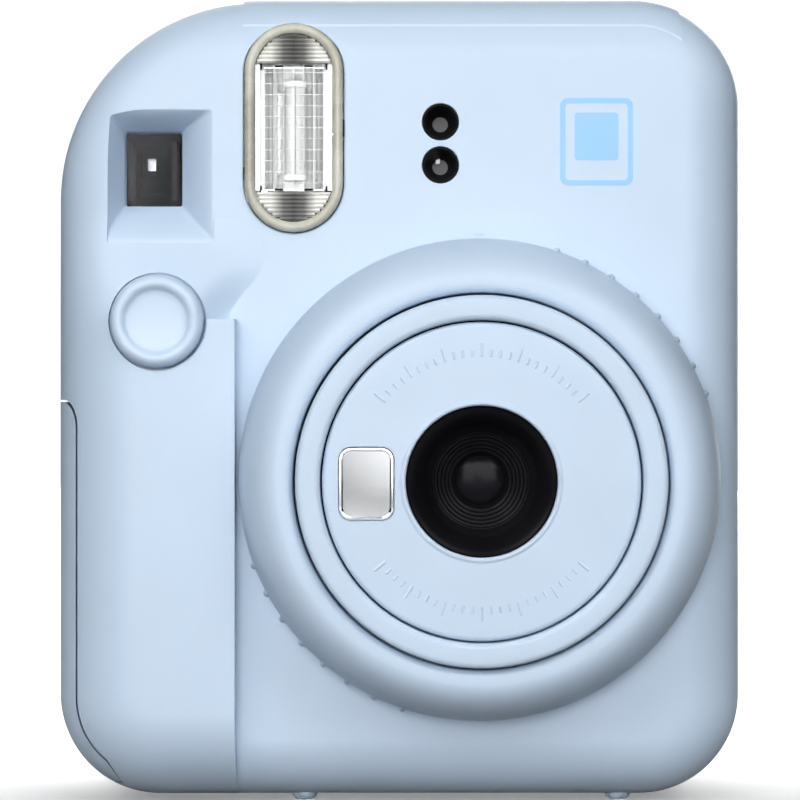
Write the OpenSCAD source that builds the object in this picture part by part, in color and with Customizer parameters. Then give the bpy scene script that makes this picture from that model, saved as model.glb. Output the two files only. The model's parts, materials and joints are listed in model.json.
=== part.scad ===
// Instant film camera with a twist-out two-stage lens barrel.
// Millimetres. +X is the viewer's right when facing the lens, +Y points away from
// the viewer towards the film door, +Z is up. The origin is on the ground, under the
// middle of the box that holds the whole camera.

/* [Body] */
// Width of the casing, side to side
body_w = 104; // [102:0.5:106]
// Height of the casing without its feet
body_h = 121.6; // [120:0.2:123]
// Height of the moulded feet under the casing
foot_h = 1; // [0.8:0.1:1.5]
// Front face of the casing, measured forward from the middle
front_reach = 18; // [17.5:0.1:18.4]
// Back face of the casing, measured back from the middle
back_reach = 30; // [29.5:0.1:30.5]
// Wall thickness of the moulded shells
wall = 2; // [1.8:0.1:2.2]
// Where the front and rear shells meet
part_y = 4; // [2:0.5:6]
// How far the hand grip stands forward of the front face
grip_rise = 4; // [3:0.1:4.2]

/* [Lens] */
// Sideways place of the optical axis
lens_x = 12; // [11.8:0.1:12.2]
// Height of the optical axis
lens_z = 49.4; // [49:0.1:50]
// Outer radius of the turning ring
ring_r = 36.1; // [35.5:0.1:36.5]
// Front face of the turning ring, measured forward from the middle
lens_reach = 33.3; // [33:0.1:34]
// Outer radius of the first telescoping barrel
outer_barrel_r = 27.2; // [27:0.1:27.5]
// Outer radius of the second telescoping barrel
face_barrel_r = 23.3; // [23:0.1:23.5]
// Radius of the opening in the lens face
hood_r = 11; // [10.9:0.1:11.4]

/* [Controls] */
// Radius of the shutter button
button_r = 7; // [6.5:0.1:7.1]
// Running gap between moving parts and the casing
gap = 0.3; // [0.25:0.05:0.35]

/* [Film drive] */
// Gear module of the film drive
gear_m = 0.6; // [0.6]
// Radius of the two spreading rollers
roller_r = 4; // [3.8:0.1:4]
// Film pack width
pack_w = 60; // [59:0.5:60]
// Film pack height
pack_h = 92; // [91:0.5:92]

/* [Hidden] */

half_w = body_w / 2;
body_z0 = foot_h;
body_z1 = foot_h + body_h;
y_front = -front_reach;
y_back = back_reach;
y_grip = y_front - grip_rise;
big = 300;

// Corner radii of the outline: top left, top right, bottom right, bottom left.
corner_r = [30.5, 16.2, 15.2, 15.4];
corners = [
    [-half_w + corner_r[0], body_z1 - corner_r[0]],
    [half_w - corner_r[1], body_z1 - corner_r[1]],
    [half_w - corner_r[2], body_z0 + corner_r[2]],
    [-half_w + corner_r[3], body_z0 + corner_r[3]]
];
front_round = 9;
back_round = 8;
grip_round = 13;
// The grip's sides stay this far inside the casing's own sides.
grip_tuck = 0.15;
grip_edge_x = -24.6;
grip_top_z = 74;

// ---------- helpers ----------

// Turns a shape drawn along +Z so that it runs along +Y, front to back.
module along_y(x, z, y0) {
    translate([x, y0, z])
        rotate([-90, 0, 0])
            children();
}

// Turns a shape drawn along +Z so that it runs along +X.
module along_x(x0, y, z) {
    translate([x0, y, z])
        rotate([90, 0, 90])
            children();
}

module rod_y(x, z, y0, y1, r) {
    along_y(x, z, y0) cylinder(h = y1 - y0, r = r, $fn = 64);
}

module rod_x(x0, x1, y, z, r) {
    along_x(x0, y, z) cylinder(h = x1 - x0, r = r, $fn = 64);
}

module tube_y(x, z, y0, y1, r_out, r_in) {
    difference() {
        rod_y(x, z, y0, y1, r_out);
        rod_y(x, z, y0 - 1, y1 + 1, r_in);
    }
}

// A box from its lowest to its highest corner.
module box(lo, hi) {
    translate(lo) cube(hi - lo);
}

// A slab that lies between two depths, outlined in the front view (x to the right, y up).
module slab(y0, y1) {
    translate([0, y1, 0])
        rotate([90, 0, 0])
            linear_extrude(height = y1 - y0)
                children();
}

module round_rect(x0, x1, z0, z1, r) {
    union() {
        translate([x0 + r, z0]) square([x1 - x0 - 2 * r, z1 - z0]);
        translate([x0, z0 + r]) square([x1 - x0, z1 - z0 - 2 * r]);
        for (x = [x0 + r, x1 - r], z = [z0 + r, z1 - r])
            translate([x, z]) circle(r = r, $fn = 48);
    }
}

// Upright capsule outline centred on a point.
module pill(x, z, half_width, half_height) {
    union() {
        translate([x - half_width, z - half_height + half_width])
            square([2 * half_width, 2 * (half_height - half_width)]);
        for (s = [-1, 1])
            translate([x, z + s * (half_height - half_width)])
                circle(r = half_width, $fn = 64);
    }
}

// A turned part around the optical axis: points are [radius, y].
module turned(points) {
    translate([lens_x, 0, lens_z])
        rotate([-90, 0, 0])
            rotate_extrude($fn = 96)
                polygon(points);
}

// A tapered hole between a front and a back rectangle: [x0, x1, z0, z1].
module funnel(front, y0, back, y1) {
    p = [
        [front[0], y0, front[2]], [front[1], y0, front[2]],
        [front[1], y0, front[3]], [front[0], y0, front[3]],
        [back[0], y1, back[2]], [back[1], y1, back[2]],
        [back[1], y1, back[3]], [back[0], y1, back[3]]
    ];
    polyhedron(
        points = p,
        faces = [[0, 3, 2, 1], [4, 5, 6, 7], [0, 1, 5, 4], [1, 2, 6, 5], [2, 3, 7, 6], [3, 0, 4, 7]]
    );
}

// ---------- the casing's outer form ----------

fillet_steps = 8;

// Half section of one corner post: [radius, y], with rounded front and back edges.
function post_profile(r, y0, y1, e0, e1) = concat(
    [[0, y0]],
    [for (i = [0:fillet_steps]) let (a = 90 * i / fillet_steps)
        [r - e0 + e0 * sin(a), y0 + e0 * (1 - cos(a))]],
    [for (i = [0:fillet_steps]) let (a = 90 * i / fillet_steps)
        [r - e1 + e1 * cos(a), y1 - e1 * (1 - sin(a))]],
    [[0, y1]]
);

module post(centre, r, y0, y1, e0, e1) {
    translate([centre[0], 0, centre[1]])
        rotate([-90, 0, 0])
            rotate_extrude($fn = 48)
                polygon(post_profile(r, y0, y1, e0, e1));
}

// The whole rounded block, shrunk by an inset on every side.
module block(inset) {
    hull()
        for (i = [0:3])
            post(corners[i], corner_r[i] - inset, y_front + inset, y_back - inset,
                front_round - inset, back_round - inset);
}

// The hand grip that stands forward of the front face.
module grip(inset) {
    r = corner_r[3] - inset - grip_tuck;
    e = grip_round - inset;
    y0 = y_grip + inset;
    low = corners[3][1];
    intersection() {
        hull() {
            for (z = [low, grip_top_z])
                post([corners[3][0], z], r, y0, 0, e, 1);
            translate([grip_edge_x - inset - 1, 0, low])
                rotate([90, 0, 90])
                    linear_extrude(height = 1)
                        polygon(concat(
                            [[0, -r]],
                            [for (i = [0:fillet_steps]) let (a = 90 * i / fillet_steps)
                                [y0 + e * (1 - sin(a)), -r + e - e * cos(a)]],
                            [for (i = [0:fillet_steps]) let (a = 90 * i / fillet_steps)
                                [y0 + e * (1 - cos(a)), grip_top_z - low + r - e + e * sin(a)]],
                            [[0, grip_top_z - low + r]]
                        ));
        }
        box([-big, -big, -big], [grip_edge_x - inset, big, big]);
    }
}

// Everything in front of, or behind, the shells' meeting plane.
module front_half() {
    box([-big, -big, -big], [big, part_y, big]);
}

module rear_half() {
    box([-big, part_y, -big], [big, big, big]);
}

// The outline of the casing, moved inwards, as a plane shape.
module outline(inset) {
    union() {
        polygon(outline_core(inset));
        for (i = [0:3])
            translate(corners[i]) circle(r = corner_r[i] - inset, $fn = 64);
    }
}

// Straight-sided core of the outline, between the corner circles.
function outline_core(inset) = [
    corners[0] + [0, corner_r[0] - inset], corners[1] + [0, corner_r[1] - inset],
    corners[1] + [corner_r[1] - inset, 0], corners[2] + [corner_r[2] - inset, 0],
    corners[2] - [0, corner_r[2] - inset], corners[3] - [0, corner_r[3] - inset],
    corners[3] - [corner_r[3] - inset, 0], corners[0] - [corner_r[0] - inset, 0]
];

// ---------- casing ----------

screws = [[46.3, 30], [46.3, 80], [-28, 6.9], [-27, 112]];
battery_seam = 3.2;
battery_top_z = 61;
flash_x = -15.9;
flash_z = 102.3;
flash_w = 7.42;
flash_h = 15.75;
sensor_x = 6.2;
sensor_z = [103.2, 96.7];
button_x = -36.2;
button_z = 73.1;
finder_x = -37.4;
finder_z = 96.4;
lug_z = 97.5;
lug_y = 9.5;
dial_x = -38;
dial_z = 71;
door_x0 = -21.5;
door_x1 = 43.5;
door_z0 = 9.5;
door_z1 = 105.5;
hinge_x = -24;
hinge_y = 29.2;
film_y = 9.2;
roll_z = 108.5;
slot_x0 = -16;
slot_x1 = 40;
foot_x = [-14.5, 33.5];

module feet_at(y0, y1) {
    for (x = foot_x)
        translate([x, (y0 + y1) / 2, 0])
            rotate_extrude()
                polygon([[0, 0], [1.3, 0], [1.68, 0.12], [1.9, 0.4], [2, 0.8], [2, 2.5], [0, 2.5]]);
}

// The side region that the battery cover fills, as an outline in the front view.
module battery_region(grow) {
    intersection() {
        difference() {
            outline(-1);
            outline(battery_seam + grow);
        }
        polygon([
            [-half_w - 5, body_z0 + 2.4 - grow], [-42.2 + grow, body_z0 + 2.4 - grow],
            [-45.6 + grow, 9.4], [-45.6 + grow, battery_top_z + grow],
            [-half_w - 5, battery_top_z + grow]
        ]);
    }
}

module screw_bosses(y0, y1, r) {
    for (s = screws)
        rod_y(s[0], s[1], y0, y1, r);
}

module front_cover() {
    color([0.80, 0.88, 0.95])
    difference() {
        union() {
            difference() {
                union() {
                    intersection() {
                        block(0);
                        front_half();
                    }
                    grip(0);
                    feet_at(-12, -6);
                }
                intersection() {
                    block(wall);
                    front_half();
                }
                grip(wall);
            }
            intersection() {
                union() {
                    screw_bosses(y_front + 1, part_y, 2.6);
                    box([-45, y_front, 83], [-27, -11, 106.5]);
                }
                block(wall / 2);
            }
        }
        slab(-big, part_y + 1) battery_region(gap);
        screw_bosses(-7, part_y + 1, 1);
        funnel([-43.9, -28, 85, 106.4], y_front - 1, [-41.7, -33.1, 90.8, 102], -12.4);
        box([-41.7, -12.6, 90.8], [-33.1, -10, 102]);
        rod_y(lens_x, lens_z, y_front - 2, y_front + wall + 1, 29.7);
        rod_y(button_x, button_z, y_grip - 5, y_grip + wall + 3, button_r + gap);
        rod_y(button_x, button_z, y_grip + 2.1, y_grip + wall + 3, 8.3);
        rod_y(lens_x, lens_z, y_grip - 5, y_front, ring_r + gap);
        slab(y_front - 2, y_front + 4) pill(flash_x, flash_z, flash_w + 0.12, flash_h + 0.12);
        for (z = sensor_z)
            rod_y(sensor_x, z, y_front - 1, y_front + 4, 2.8);
        box([lens_x - 0.8, y_front - 1, 86], [lens_x + 0.8, y_front + 0.25, 86.3]);
    }
}

module rear_cover() {
    color([0.80, 0.88, 0.95])
    difference() {
        union() {
            difference() {
                union() {
                    intersection() {
                        block(0);
                        rear_half();
                    }
                    feet_at(16, 22);
                }
                intersection() {
                    block(wall);
                    rear_half();
                }
            }
            intersection() {
                union() {
                    screw_bosses(part_y, y_back, 2.8);
                    box([-52, part_y, 90.5], [-45, 14.8, 104.5]);
                    box([slot_x0 - 2.4, 5.4, 118.4], [slot_x0 - 0.2, 9.4, 122]);
                    box([slot_x1 + 0.2, 5.4, 118.4], [slot_x1 + 2.4, 9.4, 122]);
                    rod_y(dial_x, dial_z, 24.4, y_back - 1, 1.5);
                }
                block(wall / 4);
            }
        }
        slab(part_y - 1, 24.4) battery_region(gap);
        screw_bosses(part_y - 1, 12, 1.1);
        screw_bosses(12, y_back + 1, 2.1);
        box([door_x0 - 0.4, y_back - wall - 1, door_z0 - 0.4],
            [door_x1 + 0.4, y_back + 1, door_z1 + 0.4]);
        translate([hinge_x, hinge_y, door_z0 + 8])
            cylinder(h = door_z1 - door_z0 - 16, r = 2.9, $fn = 48);
        box([-60, 6, 92], [-47, 13, 103]);
        slab(y_back - 9, y_back + 2) round_rect(-45.15, -28.85, 86.85, 105.15, 3.15);
        rod_y(dial_x, dial_z + 6, y_back - wall - 1, y_back + 1, 3);
        box([slot_x0, 6.4, 117], [slot_x1, 11.8, 130]);
        rod_x(slot_x0 - 1.6, slot_x1 + 1.6, 7.4, 119.8, 0.65);
    }
    color([0.80, 0.88, 0.95])
        for (z = [door_z0 + 11.3, door_z1 - 19.3])
            difference() {
                union() {
                    translate([hinge_x, hinge_y, z]) cylinder(h = 8, r = 2.2, $fn = 48);
                    box([hinge_x - 3.1, hinge_y - 1, z], [hinge_x, y_back, z + 8]);
                }
                translate([hinge_x, hinge_y, z - 1]) cylinder(h = 10, r = 0.85, $fn = 48);
            }
}

module battery_cover() {
    color([0.80, 0.88, 0.95])
    intersection() {
        difference() {
            union() {
                block(0);
                grip(0);
            }
            block(wall);
            grip(wall);
        }
        slab(-big, 24) battery_region(0);
    }
}

module case_screws() {
    color([0.55, 0.56, 0.58])
    for (s = screws)
        difference() {
            union() {
                rod_y(s[0], s[1], -6.5, 12, 1);
                rod_y(s[0], s[1], 12, 13.6, 2);
            }
            box([s[0] - 1.3, 12.9, s[1] - 0.25], [s[0] + 1.3, 14, s[1] + 0.25]);
            box([s[0] - 0.25, 12.9, s[1] - 1.3], [s[0] + 0.25, 14, s[1] + 1.3]);
        }
}

module strap_lug() {
    color([0.70, 0.71, 0.73])
        translate([-49.8, lug_y, 92])
            cylinder(h = 11, r = 1.1, $fn = 48);
}

// ---------- back door ----------

module back_door() {
    color([0.80, 0.88, 0.95])
    difference() {
        union() {
            box([door_x0, y_back - wall, door_z0], [door_x1, y_back, door_z1]);
            for (z = [door_z0 + 19.7, door_z1 - 31.7])
                union() {
                    translate([hinge_x, hinge_y, z]) cylinder(h = 12, r = 2.2, $fn = 48);
                    box([hinge_x, hinge_y - 0.7, z], [door_x0 + 1, y_back, z + 12]);
                }
        }
        for (z = [door_z0 + 19.7, door_z1 - 31.7])
            translate([hinge_x, hinge_y, z - 1]) cylinder(h = 14, r = 0.85, $fn = 48);
        slab(y_back - wall - 1, y_back + 1) pill(10, 60, 2.6, 9);
        slab(y_back - wall - 1, y_back + 1) round_rect(34.7, 40.3, 49.7, 62.3, 1);
    }
}

module pack_window() {
    color([0.75, 0.80, 0.85, 0.5])
        slab(y_back - wall, y_back - 0.4) pill(10, 60, 2.6, 9);
}

// Leaf pads on the door that press the pack towards the lens.
module pack_springs() {
    color([0.2, 0.2, 0.22])
    for (z = [32, 84])
        difference() {
            union() {
                slab(y_back - wall - 0.5, y_back - wall) round_rect(-6, 26, z - 7, z + 7, 2);
                slab(y_back - wall - 1.5, y_back - wall - 0.5) round_rect(2, 18, z - 4, z + 4, 1.5);
            }
            rod_y(-2, z, 20, 35, 1);
            rod_y(22, z, 20, 35, 1);
        }
}

module door_latch() {
    color([0.72, 0.80, 0.88])
    union() {
        slab(y_back + 0.2, y_back + 1.6) round_rect(33.2, 39.8, 46, 66, 2);
        box([35, y_back - wall - 0.3, 52.5], [37.6, y_back + 0.4, 59.5]);
        box([35, y_back - wall - 1.3, 52.5], [43, y_back - wall - 0.3, 59.5]);
        for (i = [0:3])
            box([35, y_back + 1.5, 49.6 + 4 * i], [38, y_back + 2, 50.6 + 4 * i]);
    }
}

module hinge_pin() {
    color([0.7, 0.71, 0.73])
        translate([hinge_x, hinge_y, door_z0 + 8.6])
            cylinder(h = door_z1 - door_z0 - 17.2, r = 0.8, $fn = 48);
}

// ---------- lens ----------

ring_y = y_front - gap;
ring_y1 = -31.6;
ring_r_in = outer_barrel_r + 0.4;
bumps = 8;
bump_pitch = 7.2;
bump_start = 18.7;

module lens_turn_ring() {
    rise = ring_r - 29.8;
    deep = ring_y - ring_y1 - 1.5;
    color([0.80, 0.88, 0.95])
    union() {
        turned(concat(
            [[ring_r_in, ring_y + 4.4], [29.4, ring_y + 4.4], [29.4, ring_y],
                [ring_r, ring_y], [ring_r, ring_y - 1.5]],
            [for (i = [1:10]) let (a = 90 * i / 10)
                [ring_r - rise * (1 - cos(a)), ring_y - 1.5 - deep * sin(a)]],
            [[28.6, ring_y1 + 0.05], [27.8, ring_y1 + 0.35], [ring_r_in, ring_y1 + 0.9]]
        ));
        for (side = [0, 180], i = [0:bumps - 1]) {
            a = side + bump_start + i * bump_pitch;
            translate([lens_x + ring_r * sin(a), ring_y, lens_z + ring_r * cos(a)])
                rotate([90, 0, 0])
                    cylinder(h = 5, r = 0.65, $fn = 24);
        }
    }
}

module ring_retainer() {
    color([0.25, 0.26, 0.28])
        tube_y(lens_x, lens_z, ring_y + 2.6, ring_y + 3.8, 32, 29.4);
}

module outer_barrel() {
    r_in = face_barrel_r + 0.3;
    color([0.80, 0.88, 0.95])
        turned([
            [r_in, -32.4], [r_in + 0.5, -lens_reach + 0.35], [r_in + 1.3, -lens_reach],
            [outer_barrel_r - 1.1, -lens_reach], [outer_barrel_r - 0.3, -lens_reach + 0.3],
            [outer_barrel_r, -lens_reach + 1], [outer_barrel_r, -8.5],
            [outer_barrel_r - 1.6, -8.5], [outer_barrel_r - 1.6, -29], [r_in, -29]
        ]);
}

mirror_x = lens_x - 16.8;

module face_barrel() {
    y0 = -lens_reach + 0.7;
    color([0.80, 0.88, 0.95])
    difference() {
        turned([
            [hood_r + 0.4, y0], [face_barrel_r - 0.9, y0], [face_barrel_r - 0.3, y0 + 0.2],
            [face_barrel_r, y0 + 0.8], [face_barrel_r, -13], [face_barrel_r - 1.5, -13],
            [face_barrel_r - 1.5, y0 + 2], [hood_r + 0.4, y0 + 2]
        ]);
        slab(y0 - 1, y0 + 1) round_rect(mirror_x - 4.1, mirror_x + 4.1, lens_z - 5.7, lens_z + 5.1, 1.9);
    }
}

module selfie_mirror() {
    y0 = -lens_reach + 0.7;
    color([0.9, 0.92, 0.95])
        slab(y0 + 0.1, y0 + 1) round_rect(mirror_x - 4, mirror_x + 4, lens_z - 5.6, lens_z + 5, 1.8);
}

// Dark stepped well in front of the lens.
module lens_hood() {
    y0 = -lens_reach + 0.5;
    color([0.06, 0.06, 0.07])
        turned([
            [hood_r, y0], [hood_r + 0.4, y0 + 0.2], [hood_r + 0.4, -22], [4.6, -22],
            [4.6, -24], [6.8, -25.6], [6.8, -26.4], [8.4, -26.4], [8.4, -27.2],
            [10.4, y0 + 1.4], [10.9, y0 + 0.3]
        ]);
}

module front_lens() {
    color([0.25, 0.3, 0.4, 0.6])
        turned(concat([[0, -22.4], [4.2, -22.4], [4.2, -23.2]],
            [for (i = [1:6]) let (r = 4.2 - 0.7 * i) [r, -23.2 - 1.1 * (1 - pow(r / 4.2, 2))]]));
}

module lens_cell() {
    color([0.12, 0.12, 0.13])
    difference() {
        turned([
            [4.6, -22], [4.6, -20.4], [3.4, -19.6], [3.4, -18.8], [face_barrel_r - 1.5, -18.8],
            [face_barrel_r - 1.5, -20.2],
            [6.4, -20.2], [6.4, -22]
        ]);
        for (a = [45:90:315])
            rod_y(lens_x + 14 * cos(a), lens_z + 14 * sin(a), -25, -10, 2.4);
    }
    color([0.12, 0.12, 0.13])
        tube_y(lens_x, lens_z, -22.4, -22, 4.6, 3.6);
}

module shutter_plate() {
    color([0.16, 0.16, 0.17])
    difference() {
        rod_y(lens_x, lens_z, -18.8, -17.8, 19);
        rod_y(lens_x, lens_z, -20, -15, 3.4);
        for (s = [-1, 1])
            rod_y(lens_x + s * 10, lens_z, -20, -15, 0.9);
    }
}

// One thin blade, from its pivot across the aperture.
module blade(side, y0) {
    px = lens_x + side * 10;
    difference() {
        union() {
            slab(y0, y0 + 0.3) union() {
                translate([lens_x + side * 0.8, lens_z]) circle(r = 4.6, $fn = 48);
                translate([px, lens_z]) circle(r = 2.2, $fn = 32);
                translate([min(px, lens_x + side * 2), lens_z - 1.4])
                    square([8, 2.8]);
            }
            rod_y(px, lens_z, -18.6, y0, 0.85);
        }
    }
}

module shutter_blade_left() {
    color([0.3, 0.3, 0.32]) blade(-1, -17.4);
}

module shutter_blade_right() {
    color([0.34, 0.34, 0.36]) blade(1, -16.7);
}

module shutter_coil() {
    color([0.55, 0.33, 0.2])
        rod_x(lens_x - 6, lens_x + 6, -15.2, lens_z + 14, 2.6);
    color([0.4, 0.4, 0.42])
    for (s = [-1, 1])
        box([lens_x + s * 6.6 - 0.6, -17.8, lens_z + 11], [lens_x + s * 6.6 + 0.6, -12.4, lens_z + 17]);
}

module rear_lens() {
    color([0.25, 0.3, 0.4, 0.6])
        rod_y(lens_x, lens_z, -19.6, -18.8, 3.4);
}

// ---------- controls ----------

module shutter_button() {
    y0 = y_grip - 1.9;
    color([0.84, 0.91, 0.97])
        along_y(button_x, button_z, 0)
            rotate_extrude($fn = 64)
                polygon([
                    [0, y0 + 0.9], [2.5, y0 + 0.8], [4.4, y0 + 0.4], [5.3, y0], [6.2, y0 + 0.1],
                    [6.8, y0 + 0.5], [button_r, y0 + 1.2], [button_r, y_grip + 2.4],
                    [7.9, y_grip + 2.4], [7.9, y_grip + 3.2], [2, y_grip + 3.2],
                    [2, y_grip + 8.6], [0, y_grip + 8.6]
                ]);
}

module button_switch() {
    y0 = y_grip + 10.6;
    color([0.1, 0.1, 0.11])
        box([button_x - 3, y0 + 0.8, button_z - 3], [-29.7, y0 + 5, button_z + 3]);
    color([0.75, 0.75, 0.75])
        rod_y(button_x, button_z, y0, y0 + 0.8, 1.6);
}

module main_board() {
    color([0.1, 0.35, 0.2])
    difference() {
        box([-29.7, -12, 12], [-28.5, 23, 80]);
        rod_x(-31, -27, 18, 16, 1.4);
        rod_x(-31, -27, 18, 76, 1.4);
    }
    color([0.08, 0.08, 0.09])
    for (z = [24, 40, 56])
        box([-28.5, -4, z], [-26.9, 6, z + 8]);
    color([0.6, 0.55, 0.3])
    for (z = [22:6:64])
        box([-28.5, 12, z], [-27.5, 14, z + 3]);
}

// ---------- flash ----------

module flash_bezel() {
    color([0.86, 0.87, 0.86])
    difference() {
        slab(y_front - 0.6, y_front + 2) pill(flash_x, flash_z, flash_w, flash_h);
        slab(y_front - 2, y_front + 3) pill(flash_x, flash_z, 5.9, 14.1);
    }
}

module flash_window() {
    color([0.85, 0.9, 0.95, 0.5])
        slab(y_front - 0.3, y_front + 0.9) pill(flash_x, flash_z, 5.9, 14.1);
}

module flash_reflector() {
    color([0.8, 0.81, 0.83])
    difference() {
        box([flash_x - 6.4, y_front + 2, flash_z - 11.8], [flash_x + 6.4, -8, flash_z + 11.8]);
        translate([0, 0, flash_z - 11])
            linear_extrude(height = 22)
                polygon([[flash_x - 5.8, y_front + 1], [flash_x + 5.8, y_front + 1],
                    [flash_x + 4.6, -12.6], [flash_x + 2.4, -9.6], [flash_x - 2.4, -9.6],
                    [flash_x - 4.6, -12.6]]);
        translate([flash_x, -11.8, flash_z - 13]) cylinder(h = 26, r = 1.55, $fn = 32);
    }
}

module flash_tube() {
    color([0.9, 0.92, 0.9])
    translate([flash_x, -11.8, flash_z - 13])
        union() {
            cylinder(h = 26, r = 1.5, $fn = 32);
            translate([0, 0, -1.5]) cylinder(h = 29, r = 0.4, $fn = 24);
        }
}

module flash_capacitor() {
    color([0.1, 0.1, 0.12])
        translate([-38.5, 21, 20]) cylinder(h = 34, r = 6, $fn = 64);
    color([0.7, 0.7, 0.72])
    for (s = [-1, 1])
        box([-32.6, 21 + s * 2 - 0.4, 30], [-29.7, 21 + s * 2 + 0.4, 31]);
}

// ---------- light sensors ----------

module sensor_sleeves() {
    color([0.07, 0.07, 0.08])
    for (z = sensor_z)
        along_y(sensor_x, z, 0)
            rotate_extrude($fn = 48)
                polygon([
                    [2.5, y_front + 0.1], [2.7, y_front + 0.1], [2.7, y_front + 3.6],
                    [3.1, y_front + 3.6], [3.1, y_front + 5], [1.2, y_front + 5], [1.2, y_front + 4.2]
                ]);
}

module light_sensors() {
    color([0.3, 0.3, 0.34])
    union() {
        for (z = sensor_z)
            box([sensor_x - 1.6, y_front + 5, z - 1.6], [sensor_x + 1.6, y_front + 6, z + 1.6]);
        box([sensor_x - 4, y_front + 6, 91.5], [sensor_x + 4, y_front + 7, 108]);
    }
}

// ---------- viewfinder ----------

module viewfinder_window() {
    color([0.3, 0.35, 0.4, 0.5])
        box([finder_x - 5.2, -11, finder_z - 6.6], [finder_x + 5.2, -10, finder_z + 6.6]);
}

module viewfinder_tube() {
    color([0.08, 0.08, 0.09])
    difference() {
        box([finder_x - 6.2, -10, finder_z - 7.6], [finder_x + 6.2, 22, finder_z + 7.6]);
        box([finder_x - 5, -11, finder_z - 6.4], [finder_x + 5, 20.5, finder_z + 6.4]);
        slab(20, 23) round_rect(finder_x - 1.5, finder_x + 1.5, finder_z - 2.4, finder_z + 2.4, 0.9);
    }
}

module viewfinder_objective() {
    color([0.35, 0.4, 0.5, 0.5])
        box([finder_x - 5, -4, finder_z - 6.4], [finder_x + 5, -2, finder_z + 6.4]);
}

module viewfinder_eyepiece() {
    color([0.12, 0.12, 0.13])
    difference() {
        union() {
            slab(22, 32.8) round_rect(-45, -29, 87, 105, 3);
            slab(32.8, 33.3) round_rect(-44.5, -29.5, 87.5, 104.5, 2.5);
        }
        slab(21, 28) round_rect(finder_x - 3, finder_x + 3, finder_z - 4, finder_z + 4, 1);
        slab(28, 34) round_rect(finder_x - 4.5, finder_x + 4.5, finder_z - 5.5, finder_z + 5.5, 1.5);
    }
}

module eyepiece_lens() {
    color([0.35, 0.4, 0.5, 0.5])
        slab(28, 29.6) round_rect(finder_x - 4.5, finder_x + 4.5, finder_z - 5.5, finder_z + 5.5, 1.5);
}

// ---------- film path ----------

pack_x = lens_x;
pack_z = 11;
pack_y = 8;

module film_chamber() {
    color([0.07, 0.07, 0.08])
    union() {
        difference() {
            union() {
                box([-21, 6.5, 9.4], [43.4, 26.3, 103]);
                box([-13, -7.5, 16.4], [37, 6.6, 82.4]);
            }
            box([-20, 8, 10.6], [42.4, 28, 104]);
            box([-11.5, -6, 17.9], [35.5, 9, 80.9]);
            rod_y(lens_x, lens_z, -9, -5, 20);
        }
    }
}

module film_pack() {
    color([0.12, 0.12, 0.13])
    difference() {
        box([pack_x - pack_w / 2, pack_y, pack_z], [pack_x + pack_w / 2, pack_y + 18, pack_z + pack_h]);
        box([pack_x - 28, pack_y + 1, pack_z + 2], [pack_x + 28, pack_y + 16.5, pack_z + pack_h - 1.5]);
        box([pack_x - 23.5, pack_y - 1, 18.4], [pack_x + 23.5, pack_y + 2, 80.4]);
        box([pack_x - 27.5, film_y - 0.2, pack_z + 80], [pack_x + 27.5, film_y + 0.8, pack_z + 100]);
        slab(pack_y + 15, pack_y + 19) pill(10, 60, 2, 8);
    }
}

module film_stack() {
    color([0.92, 0.92, 0.9])
        box([pack_x - 27, pack_y + 1, pack_z + 2], [pack_x + 27, pack_y + 6, pack_z + 88]);
}

module film_claw() {
    color([0.7, 0.71, 0.72])
        union() {
            box([-19.7, 8.6, 15], [-18.3, 12.5, 27]);
            box([-19.7, 12.5, 17], [-18.3, 20, 21]);
        }
}

module exit_flap() {
    color([0.1, 0.1, 0.11])
    union() {
        box([slot_x0 + 0.3, 7.4, 119.4], [slot_x1 - 0.3, 11.3, 120.2]);
        rod_x(slot_x0 - 1.4, slot_x1 + 1.4, 7.4, 119.8, 0.6);
    }
}

// ---------- rollers and film drive ----------

roll_x0 = -17.5;
roll_x1 = 40.4;
drive_y = film_y + roller_r + 0.15;
pinch_y = film_y - roller_r - 0.15;
gear_x0 = 43.9;
gear_x1 = 46.4;
motor_y = -4;
motor_z = 94;
gear_ratio_step = 0.2;
pinion_teeth = 10;
idler_teeth = 24;
roller_teeth = 16;
train_dy = drive_y - motor_y;
train_dz = roll_z - motor_z;
train_len = sqrt(train_dy * train_dy + train_dz * train_dz);
idler_off = gear_m * (pinion_teeth + idler_teeth) / 2 + (train_len
    - gear_m * (pinion_teeth + 2 * idler_teeth + roller_teeth) / 2) / 2;
idler_y = motor_y + train_dy * idler_off / train_len;
idler_z = motor_z + train_dz * idler_off / train_len;
train_angle = atan2(train_dz, train_dy);

module roller_bracket() {
    color([0.6, 0.61, 0.63])
    difference() {
        union() {
            box([-19.7, -1.2, 103.6], [-18.3, 19, 114.5]);
            box([41.2, -1.2, 103.6], [42.6, 19, 114.5]);
            box([-19.7, -1.2, 103.6], [42.6, -0.2, 114.5]);
            box([41.2, -11, 87], [42.6, 6.4, 104]);
        }
        for (y = [drive_y, pinch_y])
            rod_x(-25, 43.4, y, roll_z, 1.55);
        rod_x(40, 44, motor_y, motor_z, 2.6);
    }
    color([0.75, 0.75, 0.76])
        rod_x(42.6, 47, idler_y, idler_z, 1.2);
}

module drive_roller() {
    color([0.25, 0.25, 0.27])
    union() {
        rod_x(roll_x0, roll_x1, drive_y, roll_z, roller_r);
        rod_x(-20.6, 47, drive_y, roll_z, 1.5);
    }
}

module pinch_roller() {
    color([0.66, 0.67, 0.69])
    union() {
        rod_x(roll_x0, roll_x1, pinch_y, roll_z, roller_r);
        rod_x(-20.6, 43.2, pinch_y, roll_z, 1.5);
    }
}

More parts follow.
